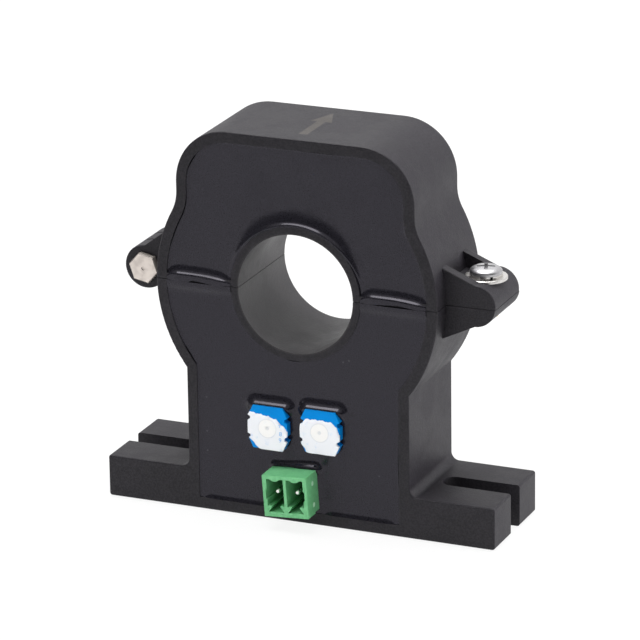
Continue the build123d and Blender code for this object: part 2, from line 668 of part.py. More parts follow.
def seal_outline(case_outline):
    """Front view of the sealing compound: it leaves the top band and one lower corner bare."""
    sole = TRIMMER_HEIGHT / 2
    brow = NOTCH_SPREAD / 2 + NOTCH_DEPTH
    spread = profile((-TRIMMER_WIDTH, brow), (ROTOR_RADIUS / 2, brow), (TRIMMER_WIDTH / 2, brow / 2),
                     (TRIMMER_WIDTH / 2, -sole), (-ROTOR_RADIUS, -sole), (-TRIMMER_WIDTH / 2, -brow),
                     (-TRIMMER_WIDTH, -brow))
    with BuildSketch() as compound:
        add(case_outline)
        add(spread, mode=Mode.INTERSECT)
    return compound.sketch


def trimmer_frame(place):
    """Plane on the face of a trimmer's case."""
    return Plane(origin=(place[0], TRIMMER_FACE, place[1]), x_dir=(1, 0, 0), z_dir=(0, -1, 0))


trimmer_blocks = []
for trimmer, place in (("zero", ZERO_TRIMMER_AT), ("span", SPAN_TRIMMER_AT)):
    frame = trimmer_frame(place)
    outline = trimmer_outline()
    compound = seal_outline(outline)
    with BuildPart() as block:
        with BuildSketch(frame):
            add(outline)
        extrude(amount=TRIMMER_FACE - BOARD_FACE)
    trimmer_blocks.append(block.part)
    with BuildPart() as case:
        add(block.part)
        with BuildSketch(frame):
            Circle(ROTOR_RADIUS + ROTOR_FIT)
        extrude(amount=-ROTOR_DEPTH, mode=Mode.SUBTRACT)
    named(case.part, f"{trimmer}_trimmer_case")
    with BuildPart() as rotor:
        with BuildSketch(frame):
            Circle(ROTOR_RADIUS)
        extrude(amount=-ROTOR_DEPTH)
        with BuildSketch(frame):
            Rectangle(2 * ROTOR_RADIUS, ROTOR_SLOT)
        extrude(amount=-ROTOR_SLOT_DEPTH, mode=Mode.SUBTRACT)
    named(rotor.part, f"{trimmer}_trimmer_rotor")
    with BuildPart() as seal:
        with BuildSketch(frame):
            add(compound)
        extrude(amount=SEAL_THICKNESS)
    named(seal.part, f"{trimmer}_trimmer_seal")

with BuildPart() as trimmer_pins:
    with BuildSketch(facing(BOARD_BACK + TRIMMER_PIN_TAIL)):
        with Locations(*trimmer_pin_places):
            Circle(TRIMMER_PIN_RADIUS)
    extrude(amount=TRIMMER_PIN_TAIL + BOARD_THICKNESS)
named(trimmer_pins.part, "trimmer_pins")

# Resin that fills each tray and creeps up round the trimmers and the header
lower_resin_face = LOWER_RESIN_DROP - HALF_DEPTH


def collar(plane, width, height):
    """Resin that slopes up to a rectangular piece from the face of the lower resin."""
    with BuildPart() as slope:
        with BuildSketch(plane):
            RectangleRounded(width + 2 * COLLAR_REACH, height + 2 * COLLAR_REACH, COLLAR_REACH)
        extrude(amount=COLLAR_CLIMB, taper=degrees(atan2(COLLAR_REACH - COLLAR_LIP, COLLAR_CLIMB)))
    return slope.part


with BuildPart() as lower_potting:
    add(slab(lower_tray.sketch, lower_resin_face, TRAY_FLOOR))
    for place in (ZERO_TRIMMER_AT, SPAN_TRIMMER_AT):
        trimmer_plane = trimmer_frame(place).offset(TRIMMER_FACE - lower_resin_face)
        add(collar(trimmer_plane, TRIMMER_WIDTH, TRIMMER_HEIGHT))
    header_plane = header_frame.offset(BOARD_FACE - lower_resin_face)
    add(collar(header_plane, HEADER_WIDTH, HEADER_HEIGHT))
    with BuildSketch(facing(lower_resin_face)):
        with Locations((0, FLOOR_WALL)):
            Rectangle(BIG, FLOOR_WALL, align=(Align.CENTER, Align.MAX))
    extrude(amount=2 * COLLAR_CLIMB, mode=Mode.SUBTRACT)
    add(lower_housing.part, mode=Mode.SUBTRACT)
    add(lower_core, mode=Mode.SUBTRACT)
    add(core_wrap, mode=Mode.SUBTRACT)
    add(secondary_winding, mode=Mode.SUBTRACT)
    add(lead_wires.part, mode=Mode.SUBTRACT)
    add(board_blank.part, mode=Mode.SUBTRACT)
    add(amplifier, mode=Mode.SUBTRACT)
    add(bridge_rectifier, mode=Mode.SUBTRACT)
    add(storage_capacitor, mode=Mode.SUBTRACT)
    add(chip_resistors.part, mode=Mode.SUBTRACT)
    add(chip_capacitors.part, mode=Mode.SUBTRACT)
    add(header_block.part, mode=Mode.SUBTRACT)
    add(header_pins.part, mode=Mode.SUBTRACT)
    add(trimmer_pins.part, mode=Mode.SUBTRACT)
    for trimmer_block in trimmer_blocks:
        add(trimmer_block, mode=Mode.SUBTRACT)
named(lower_potting.part, "lower_potting")

with BuildPart() as upper_potting:
    add(slab(upper_tray.sketch, UPPER_RESIN_DROP - HALF_DEPTH, TRAY_FLOOR))
    add(upper_core, mode=Mode.SUBTRACT)
    add(core_cushion, mode=Mode.SUBTRACT)
named(upper_potting.part, "upper_potting")

# Hinge pin with a hexagon head, and its nut at the back
with BuildPart() as hinge_pin:
    with BuildSketch(facing(HEAD_RECESS - HINGE_WIDTH / 2)):
        add(hexagon)
    extrude(amount=PIN_HEAD)
    chamfer(hinge_pin.faces().sort_by(Axis.Y)[0].edges(), HEX_CHAMFER)
    with BuildSketch(facing(pin_end)):
        with Locations((HINGE_X, PIVOT_HEIGHT)):
            Circle(PIN_RADIUS)
    extrude(amount=pin_end + HINGE_WIDTH / 2 - HEAD_RECESS)
    with BuildSketch(facing(HEAD_RECESS - HINGE_WIDTH / 2 - PIN_HEAD)):
        with Locations((HINGE_X, PIVOT_HEIGHT)):
            Circle(DIMPLE_RADIUS)
    extrude(amount=-DIMPLE_DEPTH, mode=Mode.SUBTRACT)
named(hinge_pin.part, "hinge_pin")

with BuildPart() as hinge_nut:
    with BuildSketch(facing(nut_back)):
        add(hexagon)
        with Locations((HINGE_X, PIVOT_HEIGHT)):
            Circle(PIN_RADIUS + PIN_SEAT_FIT, mode=Mode.SUBTRACT)
    extrude(amount=NUT_HEIGHT)
    chamfer(hinge_nut.faces().sort_by(Axis.Y)[-1].outer_wire().edges(), HEX_CHAMFER)
named(hinge_nut.part, "hinge_nut")

# Clamp screw, its two washers and the thread insert in the lower lug
with BuildPart() as clamp_insert:
    with BuildSketch(Plane.XY.offset(LOWER_FACE)):
        with Locations((SCREW_X, 0)):
            Circle(INSERT_RADIUS)
            Circle(SCREW_RADIUS + INSERT_THREAD_FIT, mode=Mode.SUBTRACT)
    extrude(amount=-INSERT_LENGTH)
    with BuildSketch(Plane.XY.offset(LOWER_FACE - INSERT_LENGTH / 3)):
        with Locations((SCREW_X, 0)):
            Circle(INSERT_RADIUS)
            Circle(INSERT_RADIUS - INSERT_GROOVE, mode=Mode.SUBTRACT)
    extrude(amount=-INSERT_LENGTH / 3, mode=Mode.SUBTRACT)
named(clamp_insert.part, "clamp_insert")

with BuildPart() as flat_washer:
    with BuildSketch(Plane.XY.offset(SEAT_HEIGHT)):
        with Locations((SCREW_X, 0)):
            Circle(FLAT_WASHER_RADIUS)
            Circle(SCREW_RADIUS + WASHER_BORE_FIT, mode=Mode.SUBTRACT)
    extrude(amount=FLAT_WASHER_THICKNESS)
    rim = flat_washer.faces().sort_by(Axis.Z)[-1].outer_wire().edges()
    fillet(rim, FLAT_WASHER_THICKNESS / 3)
named(flat_washer.part, "flat_washer")

with BuildPart() as spring_washer:
    with BuildSketch(Plane.XY.offset(SEAT_HEIGHT + FLAT_WASHER_THICKNESS)):
        with Locations((SCREW_X, 0)):
            Circle(SPRING_WASHER_RADIUS)
            Circle(SCREW_RADIUS + WASHER_BORE_FIT, mode=Mode.SUBTRACT)
        with Locations((SCREW_X, 0)):
            Rectangle(BIG, SPRING_WASHER_SPLIT, align=(Align.MIN, Align.CENTER),
                      rotation=SPLIT_TURN, mode=Mode.SUBTRACT)
    extrude(amount=SPRING_WASHER_THICKNESS)
named(spring_washer.part, "spring_washer")

with BuildPart() as clamp_screw:
    with BuildSketch(Plane.XY.offset(HEAD_SEAT)):
        with Locations((SCREW_X, 0)):
            Circle(SCREW_HEAD_RADIUS)
    extrude(amount=SCREW_HEAD_HEIGHT)
    fillet(clamp_screw.edges().sort_by(Axis.Z)[-1], SCREW_CROWN)
    with BuildSketch(Plane.XY.offset(HEAD_SEAT + SCREW_HEAD_HEIGHT)):
        with Locations((SCREW_X, 0)):
            Rectangle(2 * CROSS_REACH, CROSS_WIDTH, rotation=CROSS_TURN)
            Rectangle(2 * CROSS_REACH, CROSS_WIDTH, rotation=CROSS_TURN + 90)
    extrude(amount=-CROSS_DEPTH, taper=CROSS_TAPER, mode=Mode.SUBTRACT)
    with BuildSketch(Plane.XY.offset(HEAD_SEAT)):
        with Locations((SCREW_X, 0)):
            Circle(SCREW_RADIUS)
    extrude(amount=-SCREW_LENGTH)
    chamfer(clamp_screw.edges().sort_by(Axis.Z)[0], SCREW_TIP)
named(clamp_screw.part, "clamp_screw")
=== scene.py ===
"""Looks of the split-core current transducer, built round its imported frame.

Metres, with +X to the right, +Y to the back and +Z up. Sizes in the classes are in millimetres.
"""

import logging
from dataclasses import dataclass, field
from enum import Enum
from functools import cache
from math import cos, hypot, pi, radians, sin
from typing import Protocol

import bmesh
import bpy
import numpy as np
from bmesh.types import BMEdge, BMesh, BMFace, BMVert
from bpy.types import Material, Node, NodeSocket, NodeTree, Object
from mathutils import Matrix, Vector


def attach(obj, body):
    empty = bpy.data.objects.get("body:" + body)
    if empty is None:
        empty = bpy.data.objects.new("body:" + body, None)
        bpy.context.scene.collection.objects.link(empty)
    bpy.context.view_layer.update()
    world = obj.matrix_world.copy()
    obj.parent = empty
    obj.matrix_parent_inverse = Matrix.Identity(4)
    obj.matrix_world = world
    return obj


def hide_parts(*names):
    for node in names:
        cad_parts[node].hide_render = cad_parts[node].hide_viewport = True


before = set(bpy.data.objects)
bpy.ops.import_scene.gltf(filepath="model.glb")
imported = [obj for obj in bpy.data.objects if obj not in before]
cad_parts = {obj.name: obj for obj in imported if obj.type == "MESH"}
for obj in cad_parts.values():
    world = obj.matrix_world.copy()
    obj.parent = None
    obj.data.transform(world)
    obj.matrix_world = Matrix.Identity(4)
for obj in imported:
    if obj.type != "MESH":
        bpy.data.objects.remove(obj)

MM = 0.001
WELD = 1e-6
AXIS_HEIGHT = 43.0
LOG = logging.getLogger("transducer")
Pair = tuple[float, float]
Triple = tuple[float, float, float]


class Slot(Enum):
    """Names of material slots for the pieces that stand for solids of the frame, which no piece
    here is given.
    """

    RESIN = "potting_resin"
    COMPOUND = "sealing_compound"
    STEEL = "fastener_steel"


class Body(Enum):
    """Bodies that those pieces ride on."""

    BASE = "base"
    CAP = "cap"
    SCREW = "clamp_screw"


class Graph:
    """Node tree of one material, world or group, with short calls to add and join nodes."""

    def __init__(self, tree: NodeTree) -> None:
        """Start with an empty tree."""
        self.tree = tree
        tree.nodes.clear()

    def add(self, kind: str, inputs: dict | None = None, **settings: object) -> Node:
        """Add a node and set or join its inputs.

        Args:
            kind: Blender's name of the node type.
            inputs: Values, or sockets to join, by input name or number.
            **settings: Properties of the node.

        Returns:
            The new node.
        """
        node = self.tree.nodes.new(kind)
        for name, value in settings.items():
            setattr(node, name, value)
        return self.feed(node, inputs or {})

    def feed(self, node: Node, inputs: dict) -> Node:
        """Set a node's inputs to values, or join them to sockets.

        Args:
            node: Node to feed.
            inputs: Values, or sockets to join, by input name or number.

        Returns:
            The same node.
        """
        for key, value in inputs.items():
            if isinstance(value, NodeSocket):
                self.tree.links.new(value, node.inputs[key])
            else:
                node.inputs[key].default_value = value
        return node

    def math(self, operation: str, *values: object) -> NodeSocket:
        """Result of a Math node on up to three values or sockets."""
        return self.add("ShaderNodeMath", dict(enumerate(values)), operation=operation).outputs[0]

    def vector(self, operation: str, *values: object, out: int = 0) -> NodeSocket:
        """Result of a Vector Math node, which has a vector at 0 and a number at 1."""
        node = self.add("ShaderNodeVectorMath", dict(enumerate(values)), operation=operation)
        return node.outputs[out]

    def group(self, tree: NodeTree, inputs: dict) -> Node:
        """Add a node that runs a shared group."""
        return self.add("ShaderNodeGroup", inputs, node_tree=tree)

    def blend(self, amount: object, first: object, second: object,
              how: str = "MIX") -> NodeSocket:
        """Mix two colours.

        Args:
            amount: Share of the second colour.
            first: First colour.
            second: Second colour.
            how: Way of mixing.

        Returns:
            The mixed colour.
        """
        node = self.add("ShaderNodeMix", {0: amount, 6: first, 7: second},
                        data_type="RGBA", blend_type=how)
        return node.outputs[2]

    def span(self, value: object, low: float, high: float, out_low: float = 0.0,
             out_high: float = 1.0) -> NodeSocket:
        """Map a value smoothly from one range to another, held at its ends.

        Args:
            value: Value to map.
            low: Start of its range.
            high: End of its range.
            out_low: Result at the start.
            out_high: Result at the end.

        Returns:
            The mapped value.
        """
        node = self.add("ShaderNodeMapRange", {0: value, 1: low, 2: high, 3: out_low, 4: out_high},
                        interpolation_type="SMOOTHSTEP")
        return node.outputs[0]

    def noise(self, vector: object, size: float, detail: float = 2.0) -> NodeSocket:
        """Add soft noise.

        Args:
            vector: Where the noise is taken.
            size: Width of its patches in millimetres.
            detail: Number of finer layers.

        Returns:
            The noise, from 0 to 1.
        """
        node = self.add("ShaderNodeTexNoise",
                        {"Vector": vector, "Scale": 1 / (size * MM), "Detail": detail})
        return node.outputs["Fac"]

    def place(self) -> NodeSocket:
        """Object coordinates of the shaded point, in metres."""
        return self.add("ShaderNodeTexCoord").outputs["Object"]

    def axes(self, vector: NodeSocket) -> list[NodeSocket]:
        """The three parts of a vector."""
        return self.add("ShaderNodeSeparateXYZ", {0: vector}).outputs[:]

    def away(self, place: NodeSocket, axis: Pair) -> NodeSocket:
        """Distance of a place from an axis along Y, which is given across and up in millimetres."""
        moved = self.vector("ADD", place, (-axis[0] * MM, 0, -axis[1] * MM))
        return self.vector("LENGTH", self.vector("MULTIPLY", moved, (1, 0, 1)), out=1)

    def bump(self, height: object, distance: float, strength: float = 1.0,
             normal: object = None) -> NodeSocket:
        """Turn a height into a normal.

        Args:
            height: Height from 0 to 1.
            distance: What a height of 1 stands for, in millimetres.
            strength: Share of the effect.
            normal: Normal to start from.

        Returns:
            The new normal.
        """
        inputs = {"Height": height, "Distance": distance * MM, "Strength": strength}
        if normal is not None:
            inputs["Normal"] = normal
        return self.add("ShaderNodeBump", inputs).outputs["Normal"]


def rgba(colour: Triple) -> tuple[float, ...]:
    """Colour with full alpha."""
    return (*colour, 1.0)


class Effects:
    """Shader node groups that several finishes share, each built once."""

    @staticmethod
    def start(name: str, numbers: dict[str, float], outs: tuple[str, ...]) -> tuple:
        """Make an empty group with a vector input, number inputs and number outputs.

        Args:
            name: Name of the group.
            numbers: Number inputs with their usual values.
            outs: Names of the number outputs.

        Returns:
            The group's graph, its input sockets and its output node.
        """
        tree = bpy.data.node_groups.new(name, "ShaderNodeTree")
        graph = Graph(tree)
        tree.interface.new_socket("Vector", in_out="INPUT", socket_type="NodeSocketVector")
        for label, value in numbers.items():
            socket = tree.interface.new_socket(label, in_out="INPUT",
                                               socket_type="NodeSocketFloat")
            socket.default_value = value
        for label in outs:
            tree.interface.new_socket(label, in_out="OUTPUT", socket_type="NodeSocketFloat")
        return graph, graph.add("NodeGroupInput").outputs, graph.add("NodeGroupOutput")

    @classmethod
    @cache
    def grain(cls) -> NodeTree:
        """Make fine moulded grain.

        Returns:
            Group with a height for the bump and a slow change of tone.
        """
        graph, given, end = cls.start("moulded_grain", {"Grain": 4000.0, "Patch": 120.0},
                                      ("Height", "Tone"))
        place, scale = given["Vector"], given["Grain"]
        fine = graph.add("ShaderNodeTexNoise", {"Vector": place, "Scale": scale, "Detail": 3.0,
                                                "Roughness": 0.6})
        pits = graph.add("ShaderNodeTexVoronoi", {"Vector": place, "Scale": scale})
        patch = graph.add("ShaderNodeTexNoise", {"Vector": place, "Scale": given["Patch"],
                                                 "Detail": 4.0, "Roughness": 0.65})
        height = graph.math("MULTIPLY_ADD", pits.outputs["Distance"], 0.5, fine.outputs["Fac"])
        graph.feed(end, {"Height": height, "Tone": graph.span(patch.outputs["Fac"], 0.3, 0.7)})
        return graph.tree

    @classmethod
    @cache
    def specks(cls) -> NodeTree:
        """Make scattered tiny specks of dust.

        Returns:
            Group with their mask.
        """
        graph, given, end = cls.start("dust_specks", {"Scale": 700.0, "Amount": 0.1}, ("Mask",))
        cells = graph.add("ShaderNodeTexVoronoi", {"Vector": given["Vector"],
                                                   "Scale": given["Scale"]})
        chance = graph.add("ShaderNodeSeparateColor", {0: cells.outputs["Color"]})
        chosen = graph.math("LESS_THAN", chance.outputs[0], given["Amount"])
        size = graph.math("MULTIPLY_ADD", chance.outputs[1], 0.12, 0.05)
        near = graph.math("LESS_THAN", cells.outputs["Distance"], size)
        graph.feed(end, {"Mask": graph.math("MULTIPLY", chosen, near)})
        return graph.tree

    @classmethod
    def dusted(cls, graph: Graph, place: NodeSocket, colour: NodeSocket, dust: Triple,
               scale: float, amount: float) -> NodeSocket:
        """Scatter specks of dust over a colour.

        Args:
            graph: Node tree to add to.
            place: Object coordinates of the shaded point.
            colour: Colour beneath.
            dust: Colour of the dust.
            scale: Cells of the pattern in a metre.
            amount: How much a speck covers.

        Returns:
            The dusted colour.
        """
        specks = graph.group(cls.specks(), {"Vector": place, "Scale": scale, "Amount": 0.03})
        share = graph.math("MULTIPLY", specks.outputs["Mask"], amount)
        return graph.blend(share, colour, rgba(dust))

    @classmethod
    @cache
    def turned(cls) -> NodeTree:
        """Make concentric tool marks round the local Z axis.

        Returns:
            Group with their height.
        """
        graph, given, end = cls.start("turned_marks", {"Lines": 6000.0}, ("Height",))
        flat = graph.vector("MULTIPLY", given["Vector"], (1, 1, 0))
        radius = graph.vector("LENGTH", flat, out=1)
        marks = graph.add("ShaderNodeTexNoise", {"W": radius, "Scale": given["Lines"],
                                                 "Detail": 3.0}, noise_dimensions="1D")
        graph.feed(end, {"Height": marks.outputs["Fac"]})
        return graph.tree


class Axis(Enum):
    """Turn that brings a piece's own axis onto Z for patterns round that axis."""

    UPRIGHT = (0.0, 0.0, 0.0)
    LENGTHWISE = (pi / 2, 0.0, 0.0)


def surface(name: str) -> tuple[Material, Graph, Node]:
    """Make a material with one Principled shader.

    Args:
        name: Name of the material.

    Returns:
        The material, its graph and its Principled node.
    """
    material = bpy.data.materials.new(name)
    material.use_nodes = True
    graph = Graph(material.node_tree)
    shader = graph.add("ShaderNodeBsdfPrincipled")
    graph.add("ShaderNodeOutputMaterial", {"Surface": shader.outputs[0]})
    return material, graph, shader


class Finish(Protocol):
    """Look with a name, which builds its own material."""

    name: str

    def build(self) -> Material:
        """Material of the look."""


@dataclass(frozen=True)
class Arrow:
    """Arrow in the cap's top, which gives the direction of the current."""

    across: float = 0.42
    start: float = -6.8
    barb: float = 1.4
    tip: float = 6.9
    shaft_width: float = 1.6
    head_width: float = 4.0
    top: float = 71.5
    edge: float = 0.06
    colour: Triple = (0.046, 0.041, 0.038)

    def mask(self, graph: Graph, place: NodeSocket) -> NodeSocket:
        """Draw the arrow.

        Args:
            graph: Node tree to add to.
            place: Object coordinates of the shaded point.

        Returns:
            One inside the arrow on the top face, else zero.
        """
        across, along, height = graph.axes(place)
        off = graph.math("ABSOLUTE", graph.math("SUBTRACT", across, self.across * MM))
        half, start, barb, edge = (value * MM for value in (self.shaft_width / 2, self.start,
                                                            self.barb, self.edge))
        shaft = graph.span(off, half + edge, half - edge)
        shaft = graph.math("MULTIPLY", shaft, graph.span(along, start - edge, start + edge))
        shaft = graph.math("MULTIPLY", shaft, graph.span(along, barb + edge, barb - edge))
        slope = self.head_width / 2 / (self.tip - self.barb)
        limit = graph.math("MULTIPLY", graph.math("SUBTRACT", self.tip * MM, along), slope)
        head = graph.span(graph.math("SUBTRACT", limit, off), -edge, edge)
        head = graph.math("MULTIPLY", head, graph.span(along, barb - edge, barb + edge))
        on_top = graph.math("GREATER_THAN", height, (self.top - 0.05) * MM)
        return graph.math("MULTIPLY", graph.math("MAXIMUM", shaft, head), on_top)


@dataclass(frozen=True)
class HousingFinish:
    """Matt moulded black with a fine grain, smoother on the bore's wall, which is painted paler as
    painted light.
    """

    name: str = "housing_black"
    colour: Triple = (0.0062, 0.0052, 0.0076)
    worn: Triple = (0.0225, 0.0205, 0.0250)
    dust: Triple = (0.09, 0.085, 0.085)
    roughness: float = 0.54
    ior: float = 1.36
    grain: float = 3300.0
    depth: float = 0.035
    bore_radius: float = 11.0
    bore_painted_light: Triple = (0.056, 0.053, 0.052)
    arrow: Arrow | None = None

    def build(self) -> Material:
        """Make the material.

        Returns:
            Material of the mouldings.
        """
        material, graph, shader = surface(self.name)
        place = graph.place()
        grain = graph.group(Effects.grain(), {"Vector": place, "Grain": self.grain})
        mottle = graph.span(graph.noise(place, 0.3, 3.0), 0.3, 0.7)
        tone = graph.math("MULTIPLY_ADD", mottle, 0.65,
                          graph.math("MULTIPLY", grain.outputs["Tone"], 0.35))
        colour = graph.blend(tone, rgba(self.colour), rgba(self.worn))
        if self.arrow:
            mark = self.arrow.mask(graph, place)
            wear = graph.span(graph.noise(place, 0.8), 0.2, 0.5, 0.65, 1.0)
            uneven = graph.math("MULTIPLY", mark, wear)
            colour = graph.blend(uneven, colour, rgba(self.arrow.colour))
        colour = Effects.dusted(graph, place, colour, self.dust, 1100.0, 0.35)
        # Painted light: the bore's wall is blended towards a paler tone.
        wall = graph.span(graph.away(place, (0.0, AXIS_HEIGHT)), (self.bore_radius + 0.35) * MM,
                          (self.bore_radius + 0.1) * MM)
        colour = graph.blend(graph.math("MULTIPLY", wall, 0.26), colour, rgba(self.bore_painted_light))
        rough = graph.span(grain.outputs["Tone"], 0.0, 1.0, self.roughness - 0.05,
                           self.roughness + 0.06)
        graph.feed(shader, {"Base Color": colour, "IOR": self.ior,
                            "Roughness": graph.math("MULTIPLY_ADD", wall, -0.12, rough),
                            "Normal": graph.bump(grain.outputs["Height"], self.depth)})
        return material


@dataclass(frozen=True)
class ResinFinish:
    """Glossy cast black resin with a slightly uneven skin."""

    name: str = "cast_resin"
    colour: Triple = (0.0060, 0.0058, 0.0078)
    film: Triple = (0.0145, 0.0135, 0.0180)
    dust: Triple = (0.06, 0.06, 0.065)
    gleam: Triple = (0.92, 0.88, 1.0)
    roughness: float = 0.12
    ior: float = 1.40

    def build(self) -> Material:
        """Make the material.

        Returns:
            Material of the resin.
        """
        material, graph, shader = surface(self.name)
        place = graph.place()
        colour = graph.blend(graph.span(graph.noise(place, 0.2, 3.0), 0.3, 0.72),
                             rgba(self.colour), rgba(self.film))
        swell = graph.bump(graph.noise(place, 9.0, 1.0), 0.12, 0.6)
        graph.feed(shader, {
            "Base Color": Effects.dusted(graph, place, colour, self.dust, 900.0, 0.5),
            "Roughness": graph.span(graph.noise(place, 6.0, 4.0), 0.35, 0.7, self.roughness,
                                    self.roughness + 0.1),
            "Normal": graph.bump(graph.noise(place, 0.5, 3.0), 0.0015, 0.6, swell),
            "IOR": self.ior, "Specular Tint": rgba(self.gleam)})
        return material


@dataclass(frozen=True)
class MetalFinish:
    """Plated or plain metal with marks round the piece's own axis; if told, its flanks are painted
    darker as painted shade and reflect less.
    """

    name: str
    colour: Triple
    shade: Triple
    centre: Triple = (0.0, 0.0, 0.0)
    axis: Axis = Axis.UPRIGHT
    roughness: float = 0.3
    lines: float = 5000.0
    depth: float = 0.004
    # Share of the colour kept on the flanks as painted shade; 1 paints none.
    flank: float = 1.0

    def build(self) -> Material:
        """Make the material.

        Returns:
            Material of the metal.
        """
        material, graph, shader = surface(self.name)
        shader.inputs["Metallic"].default_value = 1.0
        place = graph.place()
        turn = Matrix.Rotation(self.axis.value[0], 3, "X")
        shift = -(turn @ (Vector(self.centre) * MM))
        own = graph.add("ShaderNodeMapping", {"Vector": place, "Location": shift,
                                              "Rotation": self.axis.value})
        marks = graph.group(Effects.turned(), {"Vector": own.outputs[0], "Lines": self.lines})
        smear = graph.span(graph.noise(place, 1.4, 4.0), 0.3, 0.75)
        colour = graph.blend(smear, rgba(self.colour), rgba(self.shade))
        # Painted shade: faces that do not face along the object's Y axis get a darker colour and
        # less reflection.
        if self.flank < 1:
            along = graph.axes(graph.add("ShaderNodeTexCoord").outputs["Normal"])[1]
            level = graph.span(graph.math("ABSOLUTE", along), 0.75, 0.95, self.flank, 1.0)
            flank_shade = graph.add("ShaderNodeCombineColor", {0: level, 1: level, 2: level}).outputs[0]
            colour = graph.blend(1.0, colour, flank_shade, "MULTIPLY")
            graph.feed(shader, {"Specular IOR Level": graph.math("MULTIPLY", level, 0.5),
                                "Metallic": level})
        skin = graph.bump(graph.noise(place, 0.12, 2.0), 0.0015, 0.5)
        graph.feed(shader, {
            "Base Color": colour,
            "Roughness": graph.span(smear, 0.0, 1.0, self.roughness - 0.06, self.roughness + 0.1),
            "Normal": graph.bump(marks.outputs["Height"], self.depth, 0.7, skin)})
        return material


@dataclass(frozen=True)
class PlasticFinish:
    """Semi-gloss moulded plastic, or a small component's body."""

    name: str
    colour: Triple
    shade: Triple
    roughness: float = 0.34
    grain: float = 5200.0
    depth: float = 0.006
    patch: float = 200.0
    glow: float = 0.0
    shine: float = 0.5
    pips: tuple[Triple, ...] = ()
    pip_radius: float = 0.45
    pip_colour: Triple = (0.50, 0.80, 0.56)

    def build(self) -> Material:
        """Make the material.

        Returns:
            Material of the plastic.
        """
        material, graph, shader = surface(self.name)
        place = graph.place()
        grain = graph.group(Effects.grain(), {"Vector": place, "Grain": self.grain,
                                              "Patch": self.patch})
        colour = graph.blend(grain.outputs["Tone"], rgba(self.colour), rgba(self.shade))
        for pip in self.pips:
            away = graph.vector("DISTANCE", place, Vector(pip) * MM, out=1)
            mask = graph.span(away, (self.pip_radius + 0.1) * MM, (self.pip_radius - 0.1) * MM)
            colour = graph.blend(mask, colour, rgba(self.pip_colour))
        graph.feed(shader, {
            "Base Color": colour, "Specular IOR Level": self.shine,
            "Roughness": graph.span(grain.outputs["Tone"], 0.0, 1.0, self.roughness - 0.04,
                                    self.roughness + 0.05),
            "Normal": graph.bump(grain.outputs["Height"], self.depth)})
        if self.glow:
            graph.feed(shader, {"Subsurface Weight": self.glow, "Subsurface Scale": 0.6 * MM,
                                "Subsurface Radius": (0.4, 0.8, 0.3)})
        return material


@dataclass(frozen=True)
class CompoundFinish:
    """White sealing compound, thinner and bluish where the case shows through, with painted shade
    in the ring groove and the centre dimple.
    """

    name: str
    centre: Pair
    colour: Triple = (0.72, 0.735, 0.765)
    disc: Triple = (0.775, 0.768, 0.755)
    hollow_shade: Triple = (0.52, 0.54, 0.57)
    thin: Triple = (0.36, 0.52, 0.72)
    ring: float = 1.72
    roughness: float = 0.42

    def build(self) -> Material:
        """Make the material.

        Returns:
            Material of the compound.
        """
        material, graph, shader = surface(self.name)
        place = graph.place()
        patches = graph.span(graph.noise(place, 1.5, 5.0), 0.56, 0.74)
        streaks = graph.span(graph.noise(place, 0.35, 3.0), 0.62, 0.8, 0.0, 0.4)
        radius = graph.away(place, self.centre)
        inside = graph.span(radius, self.ring * MM, (self.ring - 0.12) * MM)
        # Painted shade: a darker line along the rotor's ring groove.
        off = graph.math("ABSOLUTE", graph.math("SUBTRACT", radius, self.ring * MM))
        hollow_shade = graph.math("MULTIPLY", graph.span(off, 0.14 * MM, 0.04 * MM), 0.4)
        veil = graph.math("MAXIMUM", graph.math("MULTIPLY", patches, 0.5), streaks)
        veil = graph.math("MULTIPLY", veil, graph.span(inside, 0.0, 1.0, 1.0, 0.15))
        colour = graph.blend(inside, rgba(self.colour), rgba(self.disc))
        colour = graph.blend(hollow_shade, colour, rgba(self.hollow_shade))
        # Painted shade: the centre dimple is darkened.
        dimple = graph.span(radius, 0.42 * MM, 0.25 * MM)
        colour = graph.blend(graph.math("MULTIPLY", dimple, 0.6), colour, rgba(self.hollow_shade))
        lumps = graph.bump(graph.noise(place, 0.9, 3.0), 0.05, 0.6)
        graph.feed(shader, {
            "Base Color": graph.blend(veil, colour, rgba(self.thin)),
            "Roughness": graph.span(veil, 0.0, 0.5, self.roughness, self.roughness - 0.1),
            "Normal": graph.bump(graph.noise(place, 0.1, 2.0), 0.004, 0.5, lumps),
            "Subsurface Weight": 0.25, "Subsurface Radius": (0.6, 0.7, 0.8),
            "Subsurface Scale": 0.4 * MM})
        return material


class Run(Enum):
    """What a striped finish follows: rings round the bore, or lines that cross them."""

    RINGS = "rings"
    SPOKES = "spokes"


